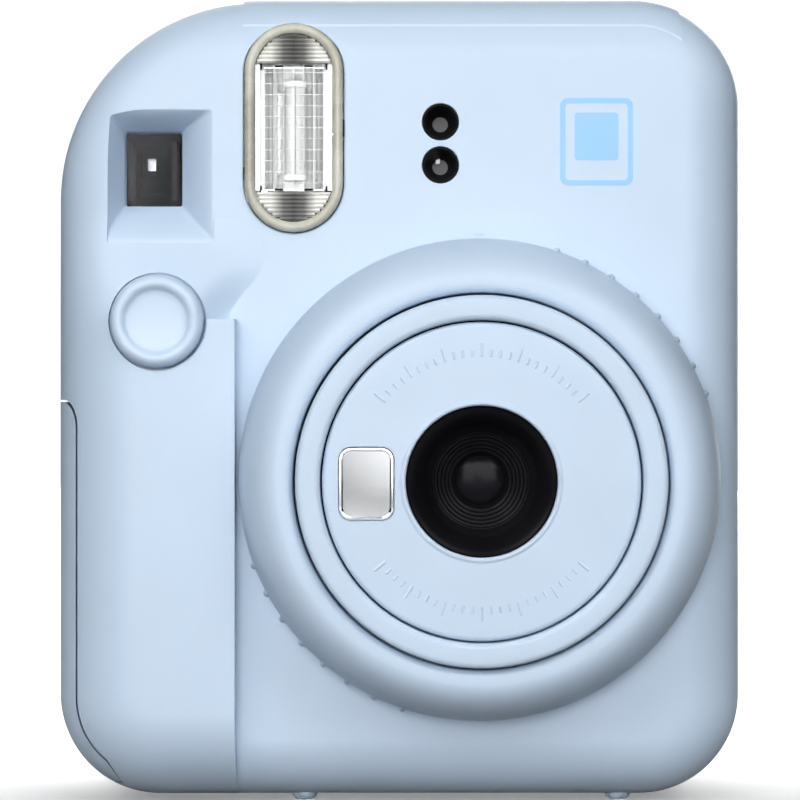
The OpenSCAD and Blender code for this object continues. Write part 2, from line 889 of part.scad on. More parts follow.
// A spur gear outline: straight-flanked teeth, the first one on the +x axis turned by an angle.
module gear_2d(teeth, bore, turn) {
    rp = gear_m * teeth / 2;
    tip = rp + 0.8 * gear_m;
    root = rp - 1.15 * gear_m;
    step = 360 / teeth;
    difference() {
        polygon([for (i = [0:teeth - 1]) let (a = turn + i * step) each [
            root * [cos(a - 0.32 * step), sin(a - 0.32 * step)],
            rp * [cos(a - 0.22 * step), sin(a - 0.22 * step)],
            tip * [cos(a - 0.1 * step), sin(a - 0.1 * step)],
            tip * [cos(a + 0.1 * step), sin(a + 0.1 * step)],
            rp * [cos(a + 0.22 * step), sin(a + 0.22 * step)],
            root * [cos(a + 0.32 * step), sin(a + 0.32 * step)]
        ]]);
        if (bore > 0)
            circle(r = bore, $fn = 48);
    }
}

module roller_gear() {
    color([0.9, 0.9, 0.86])
        along_x(gear_x0, drive_y, roll_z)
            linear_extrude(height = gear_x1 - gear_x0)
                gear_2d(roller_teeth, 1.5, 180 + train_angle);
}

module idler_gear() {
    color([0.9, 0.9, 0.86])
        along_x(gear_x0, idler_y, idler_z)
            linear_extrude(height = gear_x1 - gear_x0)
                gear_2d(idler_teeth, 1.25, train_angle + 180 / idler_teeth);
}

module motor_pinion() {
    color([0.85, 0.75, 0.45])
    union() {
        along_x(gear_x0, motor_y, motor_z)
            linear_extrude(height = gear_x1 - gear_x0)
                gear_2d(pinion_teeth, 0, train_angle);
        rod_x(37, gear_x0 + 0.5, motor_y, motor_z, 1);
    }
}

module drive_motor() {
    color([0.65, 0.66, 0.68])
    difference() {
        union() {
            rod_x(21.2, 41.2, motor_y, motor_z, 6);
            rod_x(19.7, 21.2, motor_y, motor_z, 2.5);
        }
        rod_x(36.5, 42, motor_y, motor_z, 1.05);
    }
}

// ---------- counter ----------

module counter_dial() {
    color([0.93, 0.93, 0.92])
    difference() {
        rod_y(dial_x, dial_z, 25, 26.4, 8.6);
        rod_y(dial_x, dial_z, 24, 28, 1.55);
        for (i = [0:9])
            rod_y(dial_x + 6 * sin(36 * i), dial_z + 6 * cos(36 * i), 26.1, 27, 0.5);
    }
}

module counter_window() {
    color([0.7, 0.75, 0.8, 0.5])
        rod_y(dial_x, dial_z + 6, y_back - wall, y_back - 0.3, 3);
}

// ---------- power ----------

cell_x = -41;
cell_y = [-8.8, 6.2];
cell_z = 11.5;
cell_r = 7.1;

module battery_holder() {
    color([0.15, 0.15, 0.16])
    union() {
        box([-33.6, -16, 8.5], [-32.4, 13.6, 64.6]);
        box([-43.5, -14.5, 8.5], [-33.5, 13.6, 9.7]);
        box([-47, -15, 63.4], [-33.5, 13.6, 64.6]);
    }
}

module battery_contacts() {
    color([0.8, 0.78, 0.7])
    for (y = cell_y) {
        translate([cell_x, y, 9.7])
            difference() {
                cylinder(h = cell_z - 9.7, r1 = 2.4, r2 = 1.8, $fn = 48);
                translate([0, 0, -1]) cylinder(h = 5, r = 1.2, $fn = 32);
            }
        translate([cell_x, y, cell_z + 50.5]) cylinder(h = 1.4, r = 3.5, $fn = 48);
    }
}

module batteries() {
    color([0.75, 0.6, 0.35])
    for (y = cell_y)
        translate([cell_x, y, cell_z])
            union() {
                cylinder(h = 49.3, r = cell_r, $fn = 64);
                translate([0, 0, 49.3]) cylinder(h = 1.2, r = 2.7, $fn = 48);
            }
}

front_cover();
rear_cover();
back_door();
battery_cover();
case_screws();
strap_lug();
lens_turn_ring();
ring_retainer();
outer_barrel();
face_barrel();
selfie_mirror();
lens_hood();
lens_cell();
front_lens();
rear_lens();
shutter_plate();
shutter_coil();
shutter_blade_left();
shutter_blade_right();
shutter_button();
button_switch();
flash_bezel();
flash_window();
flash_reflector();
flash_tube();
flash_capacitor();
sensor_sleeves();
light_sensors();
viewfinder_window();
viewfinder_tube();
viewfinder_objective();
viewfinder_eyepiece();
eyepiece_lens();
main_board();
film_chamber();
film_pack();
film_stack();
film_claw();
pack_springs();
pack_window();
door_latch();
hinge_pin();
counter_dial();
counter_window();
exit_flap();
roller_bracket();
drive_roller();
roller_gear();
pinch_roller();
idler_gear();
motor_pinion();
drive_motor();
battery_holder();
battery_contacts();
batteries();
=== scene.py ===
import json
import math

import bmesh
import bpy
import numpy as np
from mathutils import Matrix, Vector


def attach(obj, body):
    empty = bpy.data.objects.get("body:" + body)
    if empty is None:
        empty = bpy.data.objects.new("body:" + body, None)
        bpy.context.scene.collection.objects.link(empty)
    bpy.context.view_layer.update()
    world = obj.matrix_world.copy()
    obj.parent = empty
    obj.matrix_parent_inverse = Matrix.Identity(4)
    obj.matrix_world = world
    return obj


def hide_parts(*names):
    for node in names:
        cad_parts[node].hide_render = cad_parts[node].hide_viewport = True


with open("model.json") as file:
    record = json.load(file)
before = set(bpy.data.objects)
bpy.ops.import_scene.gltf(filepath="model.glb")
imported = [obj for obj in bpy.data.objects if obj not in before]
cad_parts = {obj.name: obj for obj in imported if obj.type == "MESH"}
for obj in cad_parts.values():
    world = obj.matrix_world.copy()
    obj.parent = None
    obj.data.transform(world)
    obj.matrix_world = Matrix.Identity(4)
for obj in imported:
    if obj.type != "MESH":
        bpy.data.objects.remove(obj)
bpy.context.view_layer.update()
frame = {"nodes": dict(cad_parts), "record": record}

MM = 0.001

record = frame["record"]
node_body = {n: b for b, nodes in record["behaviour"]["bodies"].items() for n in nodes}
node_slot = {s["node"]: s["material_slot"] for s in record["subparts"]}

# ---------- sizes shared by several pieces, in millimetres ----------

# Casing: X is positive towards the lens side, Y towards the back, and the covers meet at PART_Y.
HALF_W = 52.0
Z0, Z1 = 1.0, 122.6
Y_FRONT, Y_BACK = -18.0, 30.0
PART_Y = 4.0
WALL = 2.0
FRONT_ROUND, BACK_ROUND = 9.0, 8.0
GRIP_RISE, GRIP_ROUND, GRIP_EDGE = 4.0, 13.0, -24.6
GRIP_TOP, GRIP_FULL = 90.5, 73.4
# Corner radii and centres run from the top left, clockwise in the front view.
CORNER_R = (30.5, 16.2, 15.2, 15.4)
PAD_RISE = 0.35
CENTRES = (
    (-HALF_W + CORNER_R[0], Z1 - CORNER_R[0]), (HALF_W - CORNER_R[1], Z1 - CORNER_R[1]),
    (HALF_W - CORNER_R[2], Z0 + CORNER_R[2]), (-HALF_W + CORNER_R[3], Z0 + CORNER_R[3]))
LENS_X, LENS_Z = 12.0, 49.4
LENS_FRONT = -33.3
BUTTON = (-36.2, 73.1)
FLASH = (-15.9, 102.3)
FLASH_HALF = (7.42, 15.75)
PANE_HALF = (5.88, 14.2)
SENSOR_X, SENSOR_Z = 6.2, (103.2, 96.7)
OPENING_R, BUTTON_BORE, SENSOR_BORE = 29.7, 7.3, 2.78
FINDER = (-37.4, 96.4)
# The battery cover: its seam's distance from the side, its height and its slanted lower end.
SEAM = 3.2
LID_TOP, LID_LOW = 61.0, 3.4
LID_SLANT = ((-45.6, 9.4), (-42.2, 3.4))
GAP = 0.3
FEET_X, FRONT_FOOT_Y, REAR_FOOT_Y = (-14.5, 33.5), -9.0, 19.0
SCREWS = ((46.3, 30.0), (46.3, 80.0), (-28.0, 6.9), (-27.0, 112.0))
DOOR_OPENING = (-21.9, 43.9, 9.1, 105.9)
HINGE = (-24, 29.2)
KNUCKLE_R, KNUCKLE_LENGTH, CHANNEL_R, PIN_R = 2.2, 8, 2.9, 0.85
EXIT_X, EXIT_Y = (-16, 40), (6.4, 11.8)
FLAP_PIN = (7.4, 119.8)
COUNTER_X, COUNTER_Z, COUNTER_WINDOW_Z = -38, 71, 77
EYECUP = (-45, -29, 87, 105)
RIM_R = 11.0
MIRROR_X = LENS_X - 16.8
MIRROR_BOX = (MIRROR_X - 4, MIRROR_X + 4, LENS_Z - 5.6, LENS_Z + 5)
CARD_BOX, PICTURE_BOX = (24.2, 35.2, 93.6, 106.8), (26.4, 33.0, 97.4, 104.6)

# The strength that marks a flat face for Blender's weighted normals.
STRONG = 16384


# ---------- mesh helpers ----------

def make(name, verts, faces):
    mesh = bpy.data.meshes.new(name)
    mesh.from_pydata([tuple(v) for v in np.asarray(verts) * MM], [], faces)
    mesh.validate()
    bm = bmesh.new()
    bm.from_mesh(mesh)
    bmesh.ops.remove_doubles(bm, verts=bm.verts, dist=1e-7)
    bmesh.ops.recalc_face_normals(bm, faces=bm.faces)
    bm.to_mesh(mesh)
    bm.free()
    obj = bpy.data.objects.new(name, mesh)
    bpy.context.scene.collection.objects.link(obj)
    return obj


def loft(name, loops, closed=False):
    """A solid through loops of equal length; the ends are capped by fans unless it closes on itself."""
    loops = [np.asarray(p, float) for p in loops]
    n = len(loops[0])
    verts = np.concatenate(loops)
    faces = []
    count = len(loops)
    for i in range(count if closed else count - 1):
        a, b = i * n, ((i + 1) % count) * n
        faces += [(a + j, a + (j + 1) % n, b + (j + 1) % n, b + j) for j in range(n)]
    if not closed:
        verts = np.vstack([verts, loops[0].mean(0), loops[-1].mean(0)])
        first, last = count * n, count * n + 1
        base = (count - 1) * n
        faces += [(first, (j + 1) % n, j) for j in range(n)]
        faces += [(last, base + j, base + (j + 1) % n) for j in range(n)]
    return make(name, verts, faces)


def circle(cx, cy, r, steps):
    """Points round a circle, in whichever plane the caller lays them."""
    a = np.linspace(0, 2 * math.pi, steps, endpoint=False)
    return [(cx + r * math.cos(t), cy + r * math.sin(t)) for t in a]


def upright(name, x, y, rows, steps=40):
    """A solid turned about an upright axis; rows are (radius, z)."""
    return loft(name, [[(*p, z) for p in circle(x, y, r, steps)] for r, z in rows])


def turned(name, profile, x=LENS_X, z=LENS_Z, steps=192):
    """A solid turned about an axis along Y; profile is a closed run of (radius, y)."""
    a = np.linspace(0, 2 * math.pi, steps, endpoint=False)
    verts, faces, rows = [], [], []
    for r, y in profile:
        if r < 1e-6:
            rows.append([len(verts)])
            verts.append((x, y, z))
        else:
            rows.append(list(range(len(verts), len(verts) + steps)))
            verts += [(x + r * s, y, z + r * c) for s, c in zip(np.sin(a), np.cos(a))]
    for p, q in zip(rows, rows[1:] + rows[:1]):
        if len(p) == 1 and len(q) == 1:
            continue
        for j in range(steps):
            k = (j + 1) % steps
            quad = [p[j % len(p)], p[k % len(p)], q[k % len(q)], q[j % len(q)]]
            faces.append(tuple(dict.fromkeys(quad)))
    return make(name, verts, faces)


def at_depth(points, y):
    """An (x, z) outline laid at a depth."""
    p = np.asarray(points, float)
    return np.column_stack([p[:, 0], np.full(len(p), y), p[:, 1]])


def prism(name, outline, y0, y1):
    """A straight solid from an (x, z) outline, between two depths."""
    n = len(outline)
    verts = np.concatenate([at_depth(outline, y) for y in (y0, y1)])
    faces = [tuple(range(n)), tuple(range(2 * n - 1, n - 1, -1))]
    faces += [(j, n + j, n + (j + 1) % n, (j + 1) % n) for j in range(n)]
    return make(name, verts, faces)


def block_box(name, low, high):
    (a, b, c), (d, e, f) = low, high
    verts = [(x, y, z) for x in (a, d) for y in (b, e) for z in (c, f)]
    faces = [(0, 1, 3, 2), (4, 6, 7, 5), (0, 4, 5, 1), (2, 3, 7, 6), (0, 2, 6, 4), (1, 5, 7, 3)]
    return make(name, verts, faces)


def soft_box(name, low, high, bevel=0.3, segments=3):
    obj = block_box(name, low, high)
    bm = bmesh.new()
    bm.from_mesh(obj.data)
    bmesh.ops.bevel(bm, geom=bm.edges[:], offset=bevel * MM, segments=segments,
                    profile=0.5, affect="EDGES", clamp_overlap=True)
    bm.to_mesh(obj.data)
    bm.free()
    return obj


def combine(obj, others, mode="DIFFERENCE"):
    """Booleans, one after another; the other solids are used up."""
    for other in others if isinstance(others, (list, tuple)) else [others]:
        mod = obj.modifiers.new("cut", "BOOLEAN")
        mod.operation = mode
        mod.object = other
        mod.solver = "MANIFOLD"
        graph = bpy.context.evaluated_depsgraph_get()
        mesh = bpy.data.meshes.new_from_object(obj.evaluated_get(graph))
        if len(mesh.polygons) == 0:
            mod.solver = "EXACT"
            graph = bpy.context.evaluated_depsgraph_get()
            mesh = bpy.data.meshes.new_from_object(obj.evaluated_get(graph))
        obj.modifiers.remove(mod)
        old = obj.data
        obj.data = mesh
        bpy.data.meshes.remove(old)
        bpy.data.objects.remove(other)
    return obj


def join(name, objs):
    """Several separate solids as one piece."""
    verts, faces = [], []
    for o in objs:
        start = len(verts)
        verts += [tuple(v.co / MM) for v in o.data.vertices]
        faces += [tuple(start + i for i in p.vertices) for p in o.data.polygons]
        bpy.data.objects.remove(o)
    return make(name, verts, faces)


def smooth(obj, angle=32, weighted=True, flats=False):
    """Smooth shading with crisp edges; with flats, square-on faces keep their own normals."""
    mesh = obj.data
    mesh.shade_smooth()
    mesh.set_sharp_from_angle(angle=math.radians(angle))
    if weighted:
        mod = obj.modifiers.new("normals", "WEIGHTED_NORMAL")
        mod.keep_sharp = True
        mod.weight = 90
        if flats:
            strength = mesh.attributes.new("__mod_weightednormals_faceweight", "INT", "FACE")
            for face, value in zip(mesh.polygons, strength.data):
                square_on = max(abs(c) for c in face.normal) > 1 - 1e-7
                value.value = STRONG if square_on and face.area > 2e-8 else 0
            mod.use_face_influence = True
    return obj


def place(obj, node, material=None, angle=32, weighted=True, flats=False):
    """Finishes a piece that stands for a CAD node."""
    obj.name = "look_" + node
    smooth(obj, angle, weighted, flats)
    slot = node_slot[node]
    obj.data.materials.clear()
    obj.data.materials.append(material or MATERIALS[slot])
    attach(obj, node_body[node])
    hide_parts(node)
    return obj


def extra(obj, node, material, weighted=True):
    """Finishes a piece that belongs with a CAD node but stands for none."""
    smooth(obj, weighted=weighted)
    obj.data.materials.clear()
    obj.data.materials.append(material)
    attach(obj, node_body[node])
    return obj


# ---------- outlines ----------

def arc(cx, cz, r, a0, a1, n):
    a = np.radians(np.linspace(a0, a1, n))
    return [(cx + r * math.cos(t), cz + r * math.sin(t)) for t in a]


def outline(inset=0.0, arc_steps=28, straight_steps=12):
    """The casing's outline in the front view, moved inwards."""
    arcs = []
    for (cx, cz), r, a0 in zip(CENTRES, CORNER_R, (180, 90, 0, -90)):
        drop = PAD_RISE if cz > 60 else 0.0
        arcs.append(arc(cx, cz - drop, max(r - inset, 0.02), a0, a0 - 90, arc_steps))
    pts = []
    for here, after in zip(arcs, arcs[1:] + arcs[:1]):
        pts += here
        p, q = np.array(here[-1]), np.array(after[0])
        pts += [tuple(p + (q - p) * k / straight_steps) for k in range(1, straight_steps)]
    return np.array(pts)


def pill(x, z, half_width, half_height, steps=40):
    s = half_height - half_width
    return np.array(arc(x, z + s, half_width, 180, 0, steps) + arc(x, z - s, half_width, 0, -180, steps))


def round_rect(x0, x1, z0, z1, r, steps=8):
    return np.array(
        arc(x0 + r, z1 - r, r, 180, 90, steps) + arc(x1 - r, z1 - r, r, 90, 0, steps)
        + arc(x1 - r, z0 + r, r, 0, -90, steps) + arc(x0 + r, z0 + r, r, -90, -180, steps))


def grown(box, g):
    """An (x0, x1, z0, z1) box with every side moved outwards."""
    x0, x1, z0, z1 = box
    return x0 - g, x1 + g, z0 - g, z1 + g


# ---------- the casing ----------

FILLET = np.radians(np.linspace(0, 90, 15))


def front_profile(inset):
    """(inset, depth) pairs from the front face round to the meeting plane."""
    e = FRONT_ROUND - inset
    rows = [(15.0, Y_FRONT + inset), (12.5, Y_FRONT + inset), (inset + e + 0.6, Y_FRONT + inset)]
    rows += [(inset + e * (1 - math.sin(a)), Y_FRONT + inset + e * (1 - math.cos(a))) for a in FILLET]
    return rows


def back_profile(inset):
    e = BACK_ROUND - inset
    rows = [(inset + e * (1 - math.sin(a)), Y_BACK - inset - e * (1 - math.cos(a))) for a in FILLET[::-1]]
    return rows + [(inset + e + 0.6, Y_BACK - inset), (12.5, Y_BACK - inset), (15.0, Y_BACK - inset)]


def shell_loft(name, rows):
    """The casing's outline swept through (inset, depth) pairs."""
    return loft(name, [at_depth(outline(d), y) for d, y in rows])


def edge_depth(d, face, e):
    """Depth of a rounded face at a distance in from the outline."""
    d = np.clip(d, 0, e)
    return face + e - np.sqrt(np.maximum(e * e - (e - d) ** 2, 0))


def lower_left(inset, x):
    """Height of the casing's lower edge at x, for a copy of the outline moved inwards."""
    cx, cz = CENTRES[3]
    r = CORNER_R[3] - inset
    return np.where(x < cx, cz - np.sqrt(np.maximum(r * r - (x - cx) ** 2, 0)), cz - r)


def edge_distance(x, z):
    """How far a point lies in from the casing's left and lower edges."""
    cx, cz = CENTRES[3]
    side = x + HALF_W
    low = z - Z0
    corner = CORNER_R[3] - np.hypot(np.minimum(x - cx, 0), np.minimum(z - cz, 0))
    return np.where((x < cx) & (z < cz), corner, np.minimum(side, low))


def ease(t):
    t = np.clip(t, 0, 1)
    return t * t * (3 - 2 * t)


# Above its full part the grip fades sideways, past the crease by FADE_OUT and short of it by FADE_IN.
FADE_IN, FADE_OUT, FADE_RISE = 7.0, 5.5, 9.0


def grip_solid(name, inset=0.0, back=2.0):
    """The swelling under the fingers: a field of depths over the grip's columns."""
    tuck = inset + 0.03
    left, right = -HALF_W + tuck, GRIP_EDGE - inset
    near = np.linspace(0, 1, 34)
    rounded = left + 10.0 * (1 - np.cos(near * math.pi / 2)) ** 1.1
    xs = np.concatenate([rounded, np.linspace(left + 10.0, right, 34)[1:]])
    if not inset:
        xs = np.concatenate([xs, [GRIP_EDGE + 0.04], np.linspace(GRIP_EDGE + 0.3, GRIP_EDGE + FADE_OUT, 16)])
    foot_rows = (1 - np.cos(np.linspace(0, 1, 26) * math.pi / 2)) * 0.35
    v = np.concatenate([foot_rows, np.linspace(0.35, 1, 30)[1:]])
    top_rows = np.concatenate([[GRIP_FULL + 0.04], np.linspace(GRIP_FULL + 0.4, GRIP_TOP, 34)])
    loops = []
    for x in xs:
        z_low = float(lower_left(tuck, np.array(x)))
        z = np.concatenate([z_low + (GRIP_FULL - z_low) * v, top_rows])
        d = edge_distance(np.full_like(z, x), z) - inset
        plain = edge_depth(d, Y_FRONT + inset, FRONT_ROUND - inset)
        raised = edge_depth(d, Y_FRONT - GRIP_RISE + inset, GRIP_ROUND - inset)
        q = np.clip((GRIP_TOP - 1 - z) / (GRIP_TOP - 1 - GRIP_FULL), 0, 1)
        s = 0.6 * ease(q) + 0.4 * q ** 1.3
        spread_out = FADE_OUT * ease((z - GRIP_FULL) / FADE_RISE)
        side = ease((GRIP_EDGE + spread_out - 0.4 - x) / (FADE_IN + spread_out))
        upper = z > GRIP_FULL + 0.02
        s = np.where(upper, s * side, 1.0 if x <= GRIP_EDGE else 0.0)
        # Past the end of each slope the surface dives a little way under the casing's face.
        dive = np.clip(np.maximum(x - (GRIP_EDGE + spread_out - 1.4), z - GRIP_TOP + 2), 0, 2) * 0.06
        dive = np.where(upper, dive, 0.0 if x <= GRIP_EDGE else 0.15)
        y = plain + (raised - plain) * s + 0.02 + dive
        loops.append([(x, back, z[0])] + [(x, a, b) for a, b in zip(y, z)] + [(x, back, z[-1])])
    return loft(name, loops)


def lid_region(grow):
    """Side region filled by the battery cover, as an outline in the front view."""
    cx, cz = CENTRES[3]
    r = CORNER_R[3] - SEAM - grow
    x_in = -HALF_W + SEAM + grow
    low, top = LID_LOW - grow, LID_TOP + grow
    (xa, za), (xb, zb) = LID_SLANT
    quarter = np.radians(np.linspace(0, 90, 12))
    pts = [(x_in - 2.4 + 2.4 * math.sin(t), top - 4.0 * (1 - math.cos(t))) for t in quarter]
    for x, z in arc(cx, cz, r, 180, 260, 60):
        if x > xa + grow + (xb - xa) * max(0.0, (z - za) / (zb - za)):
            break
        pts.append((x, z))
    return pts + [(xb + grow, low), (-HALF_W - 4, low), (-HALF_W - 4, top)]


def screw_post(x, z, y0, y1, r):
    return turned("post", [(0, y0), (r, y0), (r, y1), (0, y1)], x, z, 40)


def raised_pad(rows, y0, y1):
    """The slightly raised band across the top, where the film comes out."""
    pad = shell_loft("pad", [(d - PAD_RISE, y) for d, y in rows])
    return combine(pad, block_box("keep", (-23.7, y0, 100), (42.7, y1, 130)), "INTERSECT")


def foot(x, y):
    """A small domed foot."""
    rows = [(0.5, 0.0), (1.0, 0.05), (1.4, 0.2), (1.72, 0.46), (1.92, 0.82), (2.0, 1.2), (2.0, 2.5)]
    return upright("foot", x, y, rows, 48)


def flared_bore(x, z, r, face, depth, flare=0.35):
    """A round cutter whose mouth opens out a little at the surface."""
    rows = [(0, face - 6), (r + flare, face - 6), (r + flare, face)]
    rows += [(r + flare * (1 - math.sin(a)), face + flare * (1 - math.cos(a))) for a in np.radians([30, 60, 90])]
    rows += [(r, face + depth), (0, face + depth)]
    return turned("bore", rows, x, z, 96)


def flash_cutter(clearance=0.12, flare=0.25):
    """The flash's opening, whose mouth opens out a little at the surface."""
    loops = []
    for g, y in ((flare, Y_FRONT - 5), (flare, Y_FRONT), (flare * 0.3, Y_FRONT + flare * 0.4),
                 (0, Y_FRONT + flare), (0, Y_FRONT + 5)):
        loops.append(at_depth(pill(*FLASH, FLASH_HALF[0] + clearance + g, FLASH_HALF[1] + clearance + g), y))
    return loft("pill", loops)


def finder_funnel():
    """The bevelled recess that leads in to the viewfinder window."""
    inner = np.array([-41.7, -33.1, 90.8, 102.0])
    outer = np.array([-44.0, -27.8, 84.9, 105.2])
    depth = 5.6
    loops = [at_depth(round_rect(*(outer + np.array([-0.3, 0.5, -0.5, 0.3])), 0.5), Y_FRONT - 7),
             at_depth(round_rect(*outer, 0.45), Y_FRONT - 0.4)]
    for u in np.linspace(0, 1, 15) ** 1.5:
        # Each side sinks at its own rate: crisp at the left, soft on the other three.
        left = outer[0] + (inner[0] - outer[0]) * u
        right = outer[1] + (inner[1] - outer[1]) * u ** 0.6
        low = outer[2] + (inner[2] - outer[2]) * u ** 0.6
        top = outer[3] + (inner[3] - outer[3]) * u ** 0.7
        loops.append(at_depth(round_rect(left, right, low, top, 0.45 - 0.1 * u), Y_FRONT - 0.05 + depth * u))
    loops.append(at_depth(round_rect(*inner, 0.4), Y_FRONT + depth + 4))
    return loft("funnel", loops)


def build_front_cover():
    rows = front_profile(0) + [(0, PART_Y - 0.2), (0.15, PART_Y)]
    body = shell_loft("front", rows)
    combine(body, raised_pad(rows, Y_FRONT + 1.2, PART_Y), "UNION")
    combine(body, grip_solid("grip"), "UNION")
    combine(body, [foot(x, FRONT_FOOT_Y) for x in FEET_X], "UNION")
    combine(body, shell_loft("inner", front_profile(WALL) + [(WALL, PART_Y + 1)]))
    combine(body, grip_solid("grip_in", WALL, 1.0))
    posts = [screw_post(x, z, Y_FRONT + (1 if z > 100 else 4), PART_Y, 2.6) for x, z in SCREWS]
    frame_block = block_box("frame", (-45.4, Y_FRONT, 82.5), (-27, -11, 106.8))
    combine(frame_block, shell_loft("trim", front_profile(0.8) + [(0.8, PART_Y)]), "INTERSECT")
    combine(body, posts + [frame_block], "UNION")
    combine(body, prism("lid", lid_region(GAP), -40, PART_Y + 1))
    combine(body, [screw_post(x, z, -7, PART_Y + 1, 1.0) for x, z in SCREWS])
    combine(body, finder_funnel())
    combine(body, turned("hole", [(0, -30), (OPENING_R, -30), (OPENING_R, -14), (0, -14)]))
    combine(body, flared_bore(*BUTTON, BUTTON_BORE, Y_FRONT - GRIP_RISE, 8))
    combine(body, flash_cutter())
    combine(body, [flared_bore(SENSOR_X, z, SENSOR_BORE, Y_FRONT, 6, 0.15) for z in SENSOR_Z])
    combine(body, block_box("index", (LENS_X - 0.8, Y_FRONT - 2, 86.0), (LENS_X + 0.8, Y_FRONT + 0.25, 86.3)))
    return body


def build_rear_cover():
    rows = [(0.15, PART_Y), (0, PART_Y + 0.2)] + back_profile(0)
    body = shell_loft("rear", rows)
    combine(body, raised_pad(rows, PART_Y, Y_BACK - 3), "UNION")
    combine(body, [foot(x, REAR_FOOT_Y) for x in FEET_X], "UNION")
    combine(body, shell_loft("inner", [(WALL, PART_Y - 1)] + back_profile(WALL)))
    posts = [screw_post(x, z, PART_Y, Y_BACK - 1, 2.8) for x, z in SCREWS]
    posts.append(block_box("pocket", (-50.9, PART_Y + 0.01, 90.5), (-45, 14.8, 103.4)))
    posts += [block_box("boss", (x, 5.4, 118.4), (x + 2.2, 9.4, 121.4)) for x in (-18.4, 40.2)]
    posts.append(screw_post(COUNTER_X, COUNTER_Z, 24.4, Y_BACK - 1, 1.5))
    combine(body, posts, "UNION")
    combine(body, prism("lid", lid_region(GAP), PART_Y - 1, 24.4))
    combine(body, [screw_post(x, z, PART_Y - 1, 12, 1.1) for x, z in SCREWS])
    combine(body, [screw_post(x, z, 11.9, Y_BACK + 1, 2.1) for x, z in SCREWS])
    combine(body, prism("door", round_rect(*DOOR_OPENING, 0.4, 3), Y_BACK - 4, Y_BACK + 3))
    combine(body, upright("slot", *HINGE, [(CHANNEL_R, 17.5), (CHANNEL_R, 97.5)], 48))
    combine(body, block_box("lug", (-60, 6, 92), (-47, 13, 103)))
    combine(body, prism("eye", round_rect(*grown(EYECUP, 0.15), 3.1, 12), 20, 40))
    window = [(0, 26), (3, 26), (3, 29.6), (3.4, 30), (3.4, 33), (0, 33)]
    combine(body, turned("view", window, COUNTER_X, COUNTER_WINDOW_Z, 64))
    combine(body, block_box("exit", (EXIT_X[0], EXIT_Y[0], 117), (EXIT_X[1], EXIT_Y[1], 130)))
    flap_bore = circle(*FLAP_PIN, 0.65, 24)
    combine(body, loft("bore", [[(x, *p) for p in flap_bore] for x in (EXIT_X[0] - 1.6, EXIT_X[1] + 1.6)]))
    hinges = []
    for z in (20.8, 86.2):
        top = z + KNUCKLE_LENGTH
        knob = upright("knuckle", *HINGE, [(KNUCKLE_R, z), (KNUCKLE_R, top)], 48)
        combine(knob, block_box("web", (-27.1, 28.2, z), (HINGE[0], 29.98, top)), "UNION")
        combine(knob, upright("pin", *HINGE, [(PIN_R, z - 1), (PIN_R, top + 1)], 24))
        hinges.append(knob)
    combine(body, hinges, "UNION")
    return body


def build_battery_cover():
    rows = front_profile(0) + [(0, PART_Y)] + back_profile(0)
    body = shell_loft("lid", rows)
    combine(body, grip_solid("grip"), "UNION")
    combine(body, shell_loft("inner", front_profile(WALL) + [(WALL, PART_Y)] + back_profile(WALL)))
    combine(body, grip_solid("grip_in", WALL, 1.0))
    combine(body, prism("keep", lid_region(0), -40, 24), "INTERSECT")
    return body


# ---------- materials ----------

def noise(nodes, links, scale, detail):
    coord = nodes.new("ShaderNodeTexCoord")
    tex = nodes.new("ShaderNodeTexNoise")
    tex.inputs["Scale"].default_value = scale
    tex.inputs["Detail"].default_value = detail
    links.new(coord.outputs["Object"], tex.inputs["Vector"])
    return tex


def ramp(nodes, links, source, low, high):
    r = nodes.new("ShaderNodeValToRGB")
    r.color_ramp.elements[0].position = 0.35
    r.color_ramp.elements[1].position = 0.65
    r.color_ramp.elements[0].color = (*low, 1)
    r.color_ramp.elements[1].color = (*high, 1)
    links.new(source, r.inputs["Fac"])
    return r


def spread(nodes, links, source, low, high):
    m = nodes.new("ShaderNodeMapRange")
    m.inputs["To Min"].default_value = low
    m.inputs["To Max"].default_value = high
    links.new(source, m.inputs["Value"])
    return m


def surface(name, low, high, rough=(0.4, 0.5), grain=900.0, bump=0.02, metallic=0.0, coat=0.0,
            blotch=60.0, specular=0.5):
    """Moulded or metal surface: slight tone change, uneven gloss and a fine grain."""
    mat = bpy.data.materials.new(name)
    mat.use_nodes = True
    nodes, links = mat.node_tree.nodes, mat.node_tree.links
    bsdf = nodes["Principled BSDF"]
    tone = noise(nodes, links, blotch, 2.0)
    links.new(ramp(nodes, links, tone.outputs["Fac"], low, high).outputs["Color"], bsdf.inputs["Base Color"])
    gloss = noise(nodes, links, blotch * 6, 4.0)
    links.new(spread(nodes, links, gloss.outputs["Fac"], *rough).outputs["Result"], bsdf.inputs["Roughness"])
    fine = noise(nodes, links, grain, 2.0)
    b = nodes.new("ShaderNodeBump")
    b.inputs["Strength"].default_value = bump
    b.inputs["Distance"].default_value = 0.0002
    links.new(fine.outputs["Fac"], b.inputs["Height"])
    links.new(b.outputs["Normal"], bsdf.inputs["Normal"])
    bsdf.inputs["Metallic"].default_value = metallic
    bsdf.inputs["Coat Weight"].default_value = coat
    bsdf.inputs["Specular IOR Level"].default_value = specular
    return mat


def glass(name, low, high, rough=(0.0, 0.03), ior=1.45):
    mat = surface(name, low, high, rough, grain=300.0, bump=0.0)
    bsdf = mat.node_tree.nodes["Principled BSDF"]
    bsdf.inputs["Transmission Weight"].default_value = 1.0
    bsdf.inputs["IOR"].default_value = ior
    return mat


def scaled(colour, k):
    return tuple(min(1.0, c * k) for c in colour)


